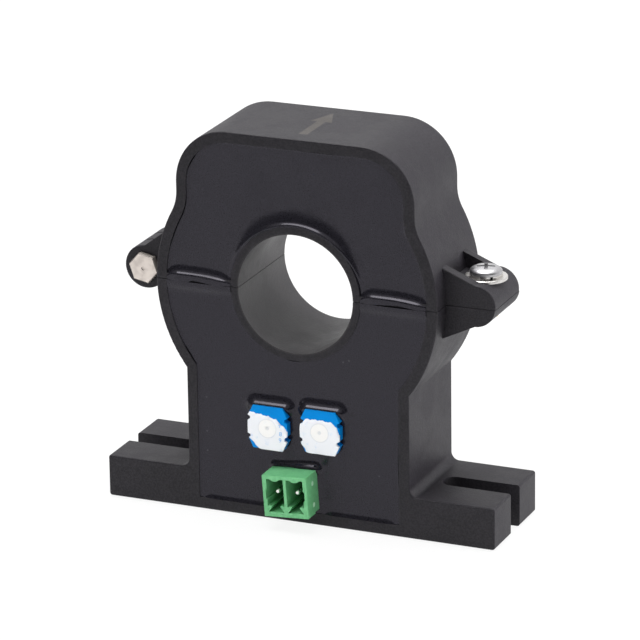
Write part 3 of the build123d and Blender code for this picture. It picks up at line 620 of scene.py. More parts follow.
@dataclass(frozen=True)
class StripedFinish:
    """Strip-wound core, taped wrap or wound wire, all of which follow the ring round the bore."""

    name: str
    run: Run
    colour: Triple
    shade: Triple
    pitch: float
    depth: float
    metal: float = 0.0
    roughness: float = 0.4

    def build(self) -> Material:
        """Make the material.

        Returns:
            Material with stripes that follow the ring.
        """
        material, graph, shader = surface(self.name)
        place = graph.place()
        if self.run is Run.RINGS:
            travel = graph.away(place, (0.0, AXIS_HEIGHT))
        else:
            across, _, height = graph.axes(place)
            rise = graph.math("SUBTRACT", height, AXIS_HEIGHT * MM)
            travel = graph.math("MULTIPLY", graph.math("ARCTAN2", rise, across), 0.02)
        phase = graph.math("DIVIDE", travel, self.pitch * MM)
        wave = graph.math("PINGPONG", phase, 0.5)
        ridge = graph.math("MULTIPLY", wave, 2.0)
        turn = graph.add("ShaderNodeTexWhiteNoise", {"W": graph.math("FLOOR", phase)},
                         noise_dimensions="1D").outputs["Value"]
        tone = graph.math("MULTIPLY_ADD", graph.noise(place, 2.0, 3.0), 0.5,
                          graph.math("MULTIPLY", turn, 0.5))
        # Painted shade: the colour darkens in the grooves between the ridges.
        groove = graph.blend(graph.span(ridge, 0.0, 0.35), rgba(self.shade), rgba(self.colour))
        graph.feed(shader, {
            "Base Color": graph.blend(graph.math("MULTIPLY", tone, 0.45), groove, rgba(self.shade)),
            "Roughness": graph.span(tone, 0.2, 0.8, self.roughness - 0.08, self.roughness + 0.1),
            "Normal": graph.bump(ridge, self.depth), "Metallic": self.metal})
        return material


@dataclass(frozen=True)
class FoamFinish:
    """Soft foam rubber with open pores, painted darker in the pores as painted shade."""

    name: str = "foam_rubber"
    colour: Triple = (0.085, 0.085, 0.085)
    pore_shade: Triple = (0.03, 0.03, 0.03)

    def build(self) -> Material:
        """Make the material.

        Returns:
            Material of the cushion.
        """
        material, graph, shader = surface(self.name)
        place = graph.place()
        cells = graph.add("ShaderNodeTexVoronoi", {"Vector": place, "Scale": 2600.0})
        wall = graph.span(cells.outputs["Distance"], 0.1, 0.6)
        # Painted shade: the pores are darker than the cell walls.
        graph.feed(shader, {"Base Color": graph.blend(wall, rgba(self.pore_shade), rgba(self.colour)),
                            "Normal": graph.bump(wall, 0.12), "Roughness": 0.9})
        return material


@dataclass(frozen=True)
class Paint:
    """Finishes of the whole transducer by slot."""

    made: dict[str, Material] = field(default_factory=dict)

    def get(self, finish: Finish) -> Material:
        """Build a finish the first time it is asked for.

        Args:
            finish: Finish to look up.

        Returns:
            Its material.
        """
        if finish.name not in self.made:
            self.made[finish.name] = finish.build()
        return self.made[finish.name]

    def dress(self, finish: Finish, *nodes: str) -> None:
        """Give nodes of the frame their finish and report it.

        Args:
            finish: Finish to wear.
            *nodes: Names of the nodes.
        """
        for node in nodes:
            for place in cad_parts[node].material_slots:
                place.material = self.get(finish)
            LOG.info("%s wears %s", node, finish.name)


def merged_copy(node: str) -> BMesh:
    """Copy a frame node's mesh and join its loose triangles.

    Args:
        node: Name of the frame's node.

    Returns:
        The joined mesh.
    """
    bm = bmesh.new()
    bm.from_mesh(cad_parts[node].data)
    bmesh.ops.remove_doubles(bm, verts=bm.verts, dist=WELD)
    return bm


def slice_mesh(bm: BMesh, at: Triple, normal: Triple, clear: bool = False) -> None:
    """Cut a mesh with a plane.

    Args:
        bm: Mesh to change.
        at: Point of the plane in millimetres.
        normal: Direction of the plane.
        clear: Whether what lies past the plane goes.
    """
    bmesh.ops.bisect_plane(bm, geom=[*bm.verts, *bm.edges, *bm.faces], plane_co=Vector(at) * MM,
                           plane_no=normal, clear_outer=clear, dist=WELD / 10)


def open_edges(bm: BMesh) -> list[BMEdge]:
    """Edges round a mesh's openings."""
    return [edge for edge in bm.edges if edge.is_boundary]


def only(kind: type, items: list) -> list:
    """Vertices, edges or faces out of what a mesh operator returned."""
    return [item for item in items if isinstance(item, kind)]


def places(verts: list[BMVert]) -> tuple[np.ndarray, np.ndarray]:
    """Places of vertices in the front view, across and up, in millimetres."""
    found = np.array([vert.co[:] for vert in verts]) / MM
    return found[:, 0], found[:, 2]


def front_grid(width: float, height: float, pitch: float) -> BMesh:
    """Make a flat grid in the front view.

    Args:
        width: Its width in millimetres.
        height: Its height in millimetres.
        pitch: Width of its cells in millimetres.

    Returns:
        The grid, centred on the Y axis.
    """
    bm = bmesh.new()
    bmesh.ops.create_grid(bm, x_segments=round(width / pitch), y_segments=round(height / pitch),
                          size=0.5)
    bmesh.ops.scale(bm, verts=bm.verts, vec=(width * MM, height * MM, 1))
    bmesh.ops.rotate(bm, verts=bm.verts, matrix=Matrix.Rotation(pi / 2, 3, "X"))
    return bm


def close_behind(bm: BMesh, back: float) -> BMesh:
    """Close a sheet into a block.

    Args:
        bm: The sheet.
        back: Depth that the block reaches back to, in millimetres.

    Returns:
        The same mesh, now closed.
    """
    walls = bmesh.ops.extrude_edge_only(bm, edges=open_edges(bm))["geom"]
    for vert in only(BMVert, walls):
        vert.co.y = back * MM
    bmesh.ops.edgeloop_fill(bm, edges=open_edges(bm))
    bmesh.ops.recalc_face_normals(bm, faces=bm.faces)
    return bm


def finished(bm: BMesh, name: str, material: Material | None = None,
             smooth: float = 35.0) -> Object:
    """Turn a bmesh into an object at the origin.

    Args:
        bm: Mesh to keep, which is freed.
        name: Name of the object and its mesh.
        material: Material of all its faces.
        smooth: Angle in degrees above which an edge stays sharp, or 0 for flat faces.

    Returns:
        The object, linked to the scene.
    """
    mesh = bpy.data.meshes.new(name)
    bm.normal_update()
    for face in bm.faces:
        face.smooth = smooth > 0
    for edge in bm.edges:
        edge.smooth = len(edge.link_faces) == 2 and edge.calc_face_angle(0.0) < radians(smooth)
    bm.to_mesh(mesh)
    bm.free()
    if material:
        mesh.materials.append(material)
    piece = bpy.data.objects.new(name, mesh)
    bpy.context.scene.collection.objects.link(piece)
    return piece


def combined(bm: BMesh, other: BMesh, operation: str, name: str) -> BMesh:
    """Join two closed meshes, or keep what they share.

    Args:
        bm: First closed mesh, which is freed.
        other: Second closed mesh, which is freed.
        operation: UNION or INTERSECT.
        name: Name for the working objects.

    Returns:
        The new closed mesh.
    """
    first, second = finished(bm, name + "_blank"), finished(other, name + "_tool")
    cut = first.modifiers.new("cut", "BOOLEAN")
    cut.operation, cut.solver, cut.object = operation, "EXACT", second
    bpy.context.view_layer.update()
    result = bmesh.new()
    result.from_object(first, bpy.context.evaluated_depsgraph_get())
    for piece in (first, second):
        mesh = piece.data
        bpy.data.objects.remove(piece)
        bpy.data.meshes.remove(mesh)
    bmesh.ops.remove_doubles(result, verts=result.verts, dist=2 * WELD)
    return result


def box_depth(x: np.ndarray, z: np.ndarray, centre: Pair, size: Pair, lean: float,
              corner: float) -> np.ndarray:
    """Distance outside a rounded rectangle in the front view, negative inside.

    Args:
        x: Places across, in millimetres.
        z: Heights in millimetres.
        centre: Centre of the rectangle.
        size: Its width and height.
        lean: Its turn in degrees.
        corner: Radius of its corners.

    Returns:
        Distances in millimetres.
    """
    turn = radians(lean)
    u = (x - centre[0]) * cos(turn) + (z - centre[1]) * sin(turn)
    v = (z - centre[1]) * cos(turn) - (x - centre[0]) * sin(turn)
    du, dv = np.abs(u) - size[0] / 2 + corner, np.abs(v) - size[1] / 2 + corner
    outside = np.hypot(np.maximum(du, 0), np.maximum(dv, 0))
    return outside + np.minimum(np.maximum(du, dv), 0) - corner


@dataclass(frozen=True)
class Climb:
    """How the resin crept up a wall before it set: a hollow tail and, on some, a rounded bead."""

    height: float
    reach: float
    bead: float = 0.0
    bead_at: float = 0.0
    flank: float = 0.15

    def rise(self, distance: np.ndarray) -> np.ndarray:
        """Follow the resin's skin up a wall.

        Args:
            distance: Distances from the wall in millimetres.

        Returns:
            Heights of the skin above its level.
        """
        past = np.clip((distance - self.bead_at) / self.flank, -30, 30)
        fall = self.flank * np.log1p(np.exp(past + 1))
        return self.height * np.exp(-fall / self.reach) + self.bead / (1 + np.exp(past))


def ease(value: np.ndarray, low: float, high: float) -> np.ndarray:
    """Share that rises smoothly from 0 at one bound to 1 at the other."""
    share = np.clip((value - low) / (high - low), 0, 1)
    return share * share * (3 - 2 * share)


def window(value: np.ndarray, low: float, high: float, fade: float) -> np.ndarray:
    """Share that is 1 between two bounds and fades to 0 at them."""
    return ease(np.minimum(value - low, high - value), 0, fade)


@dataclass(frozen=True)
class Slit:
    """Thin gap where the set resin shrank away from the rim."""

    start: Pair
    end: Pair
    width: float = 0.22


@dataclass(frozen=True)
class Film:
    """Resin that ran over a parting wall, with a mouth where it parted."""

    left: float
    right: float
    bottom: float
    top: float
    mouth: Triple | None = None
    gape: float = 0.42


@dataclass
class ResinPour:
    """Resin in one of the two trays, with the skin that it set with."""

    node: str
    name: str
    body: Body
    level: float
    cut: float
    bottom: float
    top: float
    slits: tuple[Slit, ...] = ()
    films: tuple[Film, ...] = ()
    half: float = 26.0
    pitch: float = 0.5
    finer: tuple[float, ...] = (0.02, 0.03, 0.05)
    tube_radius: float = 12.4
    ring_inside: float = 24.9
    wall_ends: Pair = (12.4, 25.0)
    heart: float = AXIS_HEIGHT
    back: float = 9.5
    front: float = -13.0
    rim_front: float = -10.3
    power: float = 2.5

    def rises(self, x: np.ndarray, z: np.ndarray) -> list[np.ndarray]:
        """Rise at each wall. Each tray gives its own."""
        raise NotImplementedError

    def sag(self, x: np.ndarray) -> np.ndarray:
        """Find how far the crest along the parting walls drops at their ends.

        Args:
            x: Places across, in millimetres.

        Returns:
            Drops in millimetres.
        """
        inner, outer = self.wall_ends
        along = np.where(x < 0, x + outer, x - inner) / (outer - inner)
        ends = np.clip(1 - along / 0.2, 0, 1) ** 2 + np.clip((along - 0.4) / 0.6, 0, 1) ** 2
        return 0.75 * ends

    def lift(self, verts: list[BMVert]) -> np.ndarray:
        """Rise of the skin at vertices, in millimetres."""
        parts = self.rises(*places(verts))
        return sum(np.maximum(part, 0) ** self.power for part in parts) ** (1 / self.power)

    def skin(self) -> BMesh:
        """Shape the resin's skin, with finer faces where it climbs.

        Returns:
            Closed block past the tray, with the skin as its front.
        """
        bm = front_grid(2 * self.half, self.top - self.bottom, self.pitch)
        bmesh.ops.translate(bm, verts=bm.verts, vec=(0, 0, (self.bottom + self.top) / 2 * MM))
        for limit in self.finer:
            bm.verts.index_update()
            rise = self.lift(bm.verts)
            steep = {edge for face in bm.faces for edge in face.edges
                     if np.ptp(rise[[vert.index for vert in face.verts]]) > limit}
            bmesh.ops.subdivide_edges(bm, edges=list(steep), cuts=1, use_grid_fill=True)
        for vert, rise in zip(bm.verts, self.lift(bm.verts)):
            vert.co.y = (self.level - rise) * MM
        bmesh.ops.triangulate(bm, faces=bm.faces)
        return close_behind(bm, self.back)

    def filled_tray(self) -> BMesh:
        """Carry the frame's resin forward from behind its skin.

        Returns:
            Closed mesh that runs well past the skin.
        """
        bm = merged_copy(self.node)
        for slit in self.slits:
            for share in (0.0, 0.2, 0.4, 0.6, 0.8, 1.0):
                at = [low + (high - low) * share for low, high in zip(slit.start, slit.end)]
                run = (slit.end[0] - slit.start[0], 0, slit.end[1] - slit.start[1])
                slice_mesh(bm, (at[0], 0, at[1]), run)
        slice_mesh(bm, (0, self.cut, 0), (0, -1, 0), clear=True)
        faces = only(BMFace, bmesh.ops.triangle_fill(bm, edges=open_edges(bm), use_beauty=True,
                                                     normal=(0, -1, 0))["geom"])
        tip = only(BMVert, bmesh.ops.extrude_face_region(bm, geom=faces)["geom"])
        bmesh.ops.delete(bm, geom=faces, context="FACES")
        bmesh.ops.translate(bm, verts=tip, vec=(0, (self.front - self.cut) * MM, 0))
        self.shrink(tip)
        bmesh.ops.recalc_face_normals(bm, faces=bm.faces)
        for film in self.films:
            bm = combined(bm, self.spread(film), "UNION", self.name)
        return bm

    def spread(self, film: Film) -> BMesh:
        """Lay a film in front of a parting wall, drawn up along its mouth.

        Args:
            film: Film to make.

        Returns:
            Closed mesh, cut to the skin later.
        """
        near, far = self.front + 0.1, self.rim_front + 0.04
        size = Vector((film.right - film.left, far - near, film.top - film.bottom)) * MM
        middle = Vector((film.left + film.right, near + far, film.bottom + film.top)) / 2 * MM
        bm = bmesh.new()
        bmesh.ops.create_cube(bm, size=1.0,
                              matrix=Matrix.Translation(middle) @ Matrix.Diagonal((*size, 1)))
        for across in film.mouth or ():
            slice_mesh(bm, (across, 0, 0), (1, 0, 0))
        if film.mouth:
            for vert in bm.verts:
                if abs(vert.co.x / MM - film.mouth[1]) < 0.01 and vert.co.z < middle.z:
                    vert.co.z += film.gape * MM
        return bm

    def shrink(self, verts: list[BMVert]) -> None:
        """Draw the resin's front vertices away from the rim along each slit.

        Args:
            verts: Vertices of the resin's front end.
        """
        depth = (self.front - self.cut) / (self.level - self.cut)
        for slit in self.slits:
            start, end = Vector(slit.start), Vector(slit.end)
            run = end - start
            inward = Vector((-run.y, run.x)).normalized()
            if inward.dot(Vector((0, self.heart)) - start) < 0:
                inward = -inward
            for vert in verts:
                at = Vector((vert.co.x, vert.co.z)) / MM - start
                share = at.dot(run) / run.length_squared
                if 0.02 < share < 0.98 and abs(at.dot(inward)) < 0.9:
                    step = inward * slit.width * sin(pi * share) ** 0.5 * depth * MM
                    vert.co.x += step.x
                    vert.co.z += step.y

    def build(self, paint: Paint) -> None:
        """Make the resin, which stands for the frame's own.

        Args:
            paint: Finishes to wear.
        """
        bm = combined(self.filled_tray(), self.skin(), "INTERSECT", self.name)
        piece = finished(bm, self.name, paint.get(ResinFinish()), smooth=60.0)
        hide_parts(self.node)
        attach(piece, self.body.value)
        LOG.info("%s: %d faces", self.name, len(piece.data.polygons))


@dataclass
class UpperPour(ResinPour):
    """Resin of the cap: it climbs the parting wall and the tube."""

    parting: float = 44.15
    cap_half: float = 20.7
    cap_top: float = 69.5
    at_parting: Climb = Climb(0.95, 0.5, 0.0, 0.3, 0.06)
    at_tube: Climb = Climb(0.50, 1.3, 0.5, 0.62, 0.13)
    at_rim: Climb = Climb(0.28, 0.32, flank=0.1)

    def rises(self, x: np.ndarray, z: np.ndarray) -> list[np.ndarray]:
        """Climb the parting wall, the tube and the rim.

        Args:
            x: Places across, in millimetres.
            z: Heights in millimetres.

        Returns:
            Rise at each wall in millimetres.
        """
        radius = np.hypot(x, z - AXIS_HEIGHT)
        block = np.minimum(self.cap_half - np.abs(x), self.cap_top - z)
        rim = np.maximum(self.ring_inside - radius, block)
        wall = window(np.abs(x), *self.wall_ends, 2.6)
        turn = np.degrees(np.arctan2(z - AXIS_HEIGHT, x))
        above = 0.2 + 0.8 * window(turn, 8, 172, 50)
        crease = 0.3 * np.exp(-((radius - self.tube_radius) / 0.2) ** 2)
        return [self.at_parting.rise(z - self.parting + self.sag(x)) * (0.62 + 0.38 * wall),
                (self.at_tube.rise(radius - self.tube_radius) - crease) * above,
                self.at_rim.rise(rim)]


@dataclass
class LowerPour(ResinPour):
    """Resin of the body: it also climbs the floor, the trimmers and the header."""

    heart: float = 22.0
    parting: float = 42.15
    floor: float = 2.2
    half_width: float = 19.4
    trimmers: tuple[Pair, ...] = ((-5.15, 17.75), (4.95, 18.25))
    trimmer_size: Pair = (7.45, 8.0)
    header_at: Pair = (-0.33, 6.6)
    header_size: Pair = (8.54, 7.7)
    header_lean: float = 3.7
    trimmer_round: float = 1.0
    header_round: float = 0.5
    at_parting: Climb = Climb(0.0, 0.5, 0.7, 0.5, 0.38)
    at_tube: Climb = Climb(0.12, 0.5)
    at_rim: Climb = Climb(0.17, 0.3, flank=0.1)
    at_floor: Climb = Climb(0.45, 0.6, flank=0.08)
    at_trimmer: Climb = Climb(1.15, 0.62, 0.15, 0.35, 0.14)
    above_header: Climb = Climb(0.4, 0.7, 0.6, 0.62, 0.16)
    beside_header: Climb = Climb(0.5, 1.0, flank=0.1)

    def rises(self, x: np.ndarray, z: np.ndarray) -> list[np.ndarray]:
        """Climb the walls of the tray, the header and the trimmers.

        Args:
            x: Places across, in millimetres.
            z: Heights in millimetres.

        Returns:
            Rise at each wall in millimetres.
        """
        radius = np.hypot(x, z - AXIS_HEIGHT)
        rim = np.maximum(self.ring_inside - radius, self.half_width - np.abs(x))
        wall = window(np.abs(x), *self.wall_ends, 3.2)
        found = [self.at_parting.rise(self.parting - z) * (0.76 + 0.24 * wall),
                 self.at_tube.rise(radius - self.tube_radius),
                 self.at_rim.rise(rim),
                 self.at_floor.rise(z - self.floor) * window(np.abs(x), 3.5, 19.8, 3.0)]
        for centre in self.trimmers:
            away = box_depth(x, z, centre, self.trimmer_size, 0.0, self.trimmer_round)
            over = ease(z - centre[1], 1.6, 4.2)
            found.append(self.at_trimmer.rise(away) * (0.06 + 0.94 * over))
        away = box_depth(x, z, self.header_at, self.header_size, self.header_lean,
                         self.header_round)
        over = ease(z - self.header_at[1], 2.2, 4.4)
        found.append(self.above_header.rise(away) * over * (0.55 + 0.45 * ease(x, -3.0, 1.5)))
        found.append(self.beside_header.rise(away) * (1 - 0.9 * over))
        return found


@dataclass
class TrimmerSeal:
    """Blob of white compound that locks one trimmer, with its marks."""

    node: str
    name: str
    centre: Pair
    seed: float
    brow: tuple[Pair, ...]
    corner: Pair
    marks: tuple[tuple[str, float, float], ...] = ()
    case: Pair = (7.45, 8.0)
    shoulder: float = 0.85
    notch: float = 0.5
    notch_rise: float = 1.7
    face: float = -11.55
    thickness: float = 0.34
    skirt: float = 0.12
    ring: float = 1.75
    dimple: float = 0.3
    pitch: float = 0.1
    half: Pair = (3.9, 4.2)
    mark_height: float = 1.15

    def cover(self, x: np.ndarray, z: np.ndarray) -> np.ndarray:
        """Spread the compound over the case, from its centre.

        Args:
            x: Places across, in millimetres.
            z: Heights in millimetres.

        Returns:
            Thickness of the compound in millimetres.
        """
        wave = 0.07 * np.sin(4.1 * x + 2.3 * self.seed) + 0.04 * np.sin(9.0 * x + self.seed)
        brow = np.interp(x, *zip(*self.brow)) + wave - z
        slope = self.corner[1] / self.corner[0]
        across = x - (self.corner[0] - self.case[0] / 2) + (z + self.case[1] / 2) / slope
        corner = (across + 0.08 * np.sin(5.0 * z + self.seed)) * 0.8
        sole = z + 4.6
        edge = np.minimum(np.minimum(brow * 0.8, corner), sole)
        body = self.thickness * (1 - np.exp(-np.maximum(edge, -0.3) / 0.3))
        lumps = 0.018 * np.sin(2.3 * x + 1.1 * z + self.seed) + 0.012 * np.sin(3.7 * z - 1.9 * x)
        radius = np.hypot(x, z)
        groove = 0.04 * np.exp(-((radius - self.ring) / 0.1) ** 2)
        square = np.maximum(np.abs(x - 0.05), np.abs(z - 0.08))
        hole = 0.15 / (1 + np.exp((square - self.dimple) / 0.05))
        return body + lumps * (edge > 0.2) - groove - hole

    def skin(self) -> BMesh:
        """Shape the compound's skin.

        Returns:
            Closed block with the skin as its front.
        """
        bm = front_grid(2 * self.half[0], 2 * self.half[1], self.pitch)
        for vert, lift in zip(bm.verts, self.cover(*places(bm.verts))):
            vert.co.y = (self.face - lift) * MM
        return close_behind(bm, self.face + 1.5)

    def outline(self) -> BMesh:
        """Draw the case's outline a hair wider.

        Returns:
            Closed prism, centred on the Y axis.
        """
        bm = bmesh.new()
        wide, high = self.case[0] / 2 + 0.05, self.case[1] / 2 + 0.03
        corners = ((0, high), (wide - self.shoulder, high), (wide, self.notch_rise + self.notch),
                   (wide - self.notch, self.notch_rise + self.notch / 2),
                   (wide - self.notch, self.notch_rise - self.notch / 2),
                   (wide, self.notch_rise - self.notch), (wide, 0))
        verts = [bm.verts.new((x * MM, (self.face - 1.0) * MM, z * MM)) for x, z in corners]
        for pair in zip(verts, verts[1:]):
            bm.edges.new(pair)
        for axis in ("X", "Z"):
            bmesh.ops.mirror(bm, geom=[*bm.verts, *bm.edges], axis=axis, merge_dist=WELD)
        bmesh.ops.remove_doubles(bm, verts=bm.verts, dist=WELD)
        bmesh.ops.edgeloop_fill(bm, edges=bm.edges)
        back = only(BMVert, bmesh.ops.extrude_face_region(bm, geom=bm.faces[:])["geom"])
        bmesh.ops.translate(bm, verts=back, vec=(0, (1.0 + self.skirt) * MM, 0))
        bmesh.ops.recalc_face_normals(bm, faces=bm.faces)
        return bm

    def mark(self, text: str, at: Pair, material: Material) -> Object:
        """Set a small dial number that shows through the compound.

        Args:
            text: Number to set.
            at: Place from the trimmer's centre.
            material: Material of the number.

        Returns:
            The number's object.
        """
        curve = bpy.data.curves.new(self.name + "_number", "FONT")
        curve.body, curve.size = text, self.mark_height * MM
        curve.align_x, curve.align_y, curve.extrude = "CENTER", "CENTER", 0.02 * MM
        letter = bpy.data.objects.new(self.name + "_number", curve)
        bpy.context.scene.collection.objects.link(letter)
        bpy.context.view_layer.update()
        bm = bmesh.new()
        bm.from_mesh(letter.to_mesh())
        bpy.data.objects.remove(letter)
        bpy.data.curves.remove(curve)
        bmesh.ops.remove_doubles(bm, verts=bm.verts, dist=WELD)
        lift = float(self.cover(np.array([at[0]]), np.array([at[1]]))[0])
        bmesh.ops.rotate(bm, verts=bm.verts, matrix=Matrix.Rotation(pi / 2, 3, "X"))
        bmesh.ops.translate(bm, verts=bm.verts, vec=((self.centre[0] + at[0]) * MM,
                            (self.face - lift) * MM, (self.centre[1] + at[1]) * MM))
        return finished(bm, f"{self.name}_number_{text}", material, smooth=0)

    def build(self, paint: Paint) -> None:
        """Make the compound and its numbers.

        Args:
            paint: Finishes to wear.
        """
        bm = combined(self.outline(), self.skin(), "INTERSECT", self.name)
        bmesh.ops.translate(bm, verts=bm.verts, vec=(self.centre[0] * MM, 0, self.centre[1] * MM))
        finish = CompoundFinish(self.name, self.centre)
        piece = finished(bm, self.name, paint.get(finish), smooth=50.0)
        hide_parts(self.node)
        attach(piece, Body.BASE.value)
        faded = PlasticFinish("faded_number", (0.10, 0.33, 0.66), (0.25, 0.46, 0.72), 0.5)
        for text, across, up in self.marks:
            number = self.mark(text, (across, up), paint.get(faded))
            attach(number, Body.BASE.value)
        LOG.info("%s: %d faces", self.name, len(piece.data.polygons))


@dataclass
class ClampScrew:
    """Clamp screw: the frame's crowned head on a shank with a real thread."""

    centre: Pair = (32.0, 0.0)
    seat: float = 47.75
    tip: float = 39.75
    crest: float = 1.45
    root: float = 1.17
    pitch: float = 0.5
    steps: int = 28
    point: float = 0.4
    flatten: float = 0.84
    head_height: float = 1.5
    head_radius: float = 2.88
    dome: float = 0.42

    def thread(self) -> BMesh:
        """Make the shank with a helical thread and a chamfered tip.

        Returns:
            Closed shank, which runs into the head.
        """
        bm = bmesh.new()
        low, high = self.tip - 2 * self.pitch, self.seat + 0.3
        turns = int((high - low) / self.pitch) + 2
        shape = ((self.root, 0.0), (self.root, 0.06), (self.crest, 0.22), (self.crest, 0.28),
                 (self.root, 0.44), (self.root, 0.5))
        ridge = [bm.verts.new((radius * MM, 0, (low - self.pitch + rise) * MM))
                 for radius, rise in shape]
        edges = [bm.edges.new(pair) for pair in zip(ridge, ridge[1:])]
        bmesh.ops.spin(bm, geom=[*ridge, *edges], axis=(0, 0, 1), cent=(0, 0, 0),
                       dvec=(0, 0, self.pitch / self.steps * MM), angle=2 * pi * turns,
                       steps=self.steps * turns, use_merge=False, use_duplicate=False)
        bmesh.ops.remove_doubles(bm, verts=bm.verts, dist=2 * WELD)
        slice_mesh(bm, (0, 0, self.tip + self.point), (0, 0, -1), clear=True)
        slice_mesh(bm, (0, 0, self.seat + 0.2), (0, 0, 1), clear=True)
        bmesh.ops.holes_fill(bm, edges=open_edges(bm))
        lowest = min(bm.faces, key=lambda face: face.calc_center_median().z)
        inner = bmesh.ops.extrude_discrete_faces(bm, faces=[lowest])["faces"][0]
        bmesh.ops.scale(bm, verts=inner.verts, vec=(0.72, 0.72, 1))
        bmesh.ops.translate(bm, verts=inner.verts, vec=(0, 0, -self.point * MM))
        bmesh.ops.recalc_face_normals(bm, faces=bm.faces)
        bmesh.ops.translate(bm, verts=bm.verts, vec=(self.centre[0] * MM, self.centre[1] * MM, 0))
        return bm

    def head(self) -> BMesh:
        """Take the frame's head, and make it lower and more domed.

        Returns:
            The head, closed where the shank left it.
        """
        bm = merged_copy("clamp_screw")
        slice_mesh(bm, (0, 0, self.seat - 0.05), (0, 0, -1), clear=True)
        bmesh.ops.holes_fill(bm, edges=open_edges(bm))
        top = (self.seat + self.head_height - 0.02) * MM
        crown = [edge for edge in bm.edges if min(vert.co.z for vert in edge.verts) > top
                 and edge.calc_length() > 0.7 * MM]
        bmesh.ops.subdivide_edges(bm, edges=crown, cuts=3)
        bmesh.ops.triangulate(bm, faces=[face for face in bm.faces if len(face.verts) > 4])
        for vert in bm.verts:
            rise = max(vert.co.z / MM - self.seat, 0.0) / self.head_height
            away = hypot(vert.co.x / MM - self.centre[0], vert.co.y / MM - self.centre[1])
            vert.co.z -= self.dome * rise * (away / self.head_radius) ** 2 * MM
        floor = Matrix.Translation((0, 0, -self.seat * MM))
        bmesh.ops.scale(bm, verts=bm.verts, vec=(1, 1, self.flatten), space=floor)
        return bm

    def build(self, paint: Paint) -> None:
        """Make the screw, which stands for the frame's plain one.

        Args:
            paint: Finishes to wear.
        """
        bm = self.head()
        shank = self.thread()
        loose = bpy.data.meshes.new("shank")
        shank.to_mesh(loose)
        shank.free()
        bm.from_mesh(loose)
        bpy.data.meshes.remove(loose)
        finish = MetalFinish("screw_steel", (0.50, 0.495, 0.505), (0.40, 0.395, 0.41),
                             (self.centre[0], self.centre[1], 0), roughness=0.38, depth=0.001)
        piece = finished(bm, "threaded_clamp_screw", paint.get(finish), smooth=30.0)
        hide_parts("clamp_screw")
        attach(piece, Body.SCREW.value)
        LOG.info("threaded_clamp_screw: %d faces", len(piece.data.polygons))


class Housings:
    """The two mouldings."""

    def build(self, paint: Paint) -> None:
        """Dress the base and the cap."""
        paint.dress(HousingFinish(), "lower_housing")
        paint.dress(HousingFinish(name="cap_black", arrow=Arrow()), "upper_housing")


class Terminals:
    """Header and trimmers on the front."""

    def build(self, paint: Paint) -> None:
        """Dress the header and the trimmers.

        Args:
            paint: Finishes to wear.
        """
        green = PlasticFinish("header_green", (0.11, 0.385, 0.165), (0.16, 0.46, 0.215), 0.4,
                              depth=0.015, patch=1400.0, glow=0.1, shine=0.3,
                              pips=((3.87, -12.7, 8.87), (4.12, -12.7, 4.88),
                                    (-4.78, -12.7, 8.31), (-4.53, -12.7, 4.32)))
        paint.dress(green, "header_shell")
        tin = MetalFinish("bright_tin", (0.86, 0.85, 0.82), (0.70, 0.69, 0.66),
                          axis=Axis.LENGTHWISE, roughness=0.2)
        paint.dress(tin, "header_pins", "trimmer_pins")
        blue = PlasticFinish("trimmer_blue", (0.0, 0.178, 0.52), (0.0, 0.205, 0.58), 0.4,
                             shine=0.05)
        paint.dress(blue, "zero_trimmer_case", "span_trimmer_case")
        rotor = MetalFinish("plated_rotor", (0.72, 0.72, 0.70), (0.60, 0.60, 0.58),
                            axis=Axis.LENGTHWISE)
        paint.dress(rotor, "zero_trimmer_rotor", "span_trimmer_rotor")
        TrimmerSeal("zero_trimmer_seal", "zero_compound", (-5.15, 17.75), 0.4,
                    ((-4.0, 2.8), (-2.9, 2.65), (0.0, 2.25), (1.7, 1.75), (2.4, 1.1), (3.2, 0.5),
                     (3.7, -0.2), (4.0, -0.8)), (1.9, 1.9),
                    (("7", 2.35, 0.55), ("8", 2.6, -0.75), ("9", 2.5, -1.95))).build(paint)
        TrimmerSeal("span_trimmer_seal", "span_compound", (4.95, 18.25), 2.6,
                    ((-4.0, 1.0), (-3.3, 1.7), (-2.6, 2.25), (0.0, 2.3), (2.3, 2.1), (3.2, 1.3),
                     (3.5, 0.4), (4.0, -0.6)), (1.1, 1.6)).build(paint)


@dataclass
class Fasteners:
    """Hinge pin, nut, washers, insert and clamp screw."""

    pivot: Triple = (-31.05, 0.0, 43.2)
    screw: Triple = (32.0, 0.0, 0.0)

    def build(self, paint: Paint) -> None:
        """Dress the metal parts and make the threaded screw.

        Args:
            paint: Finishes to wear.
        """
        # flank=0.3 paints shade on the flanks of the pin and the nut.
        pin = MetalFinish("hinge_steel", (0.83, 0.75, 0.69), (0.75, 0.68, 0.63), self.pivot,
                          Axis.LENGTHWISE, 0.42, depth=0.002, flank=0.3)
        paint.dress(pin, "hinge_pin", "hinge_nut")
        washer = MetalFinish("washer_steel", (0.70, 0.68, 0.66), (0.60, 0.58, 0.56), self.screw,
                             roughness=0.3, depth=0.002)
        paint.dress(washer, "flat_washer", "spring_washer")
        paint.dress(MetalFinish("turned_brass", (0.72, 0.53, 0.22), (0.58, 0.42, 0.17), self.screw,
                                roughness=0.3), "clamp_insert")
        ClampScrew().build(paint)


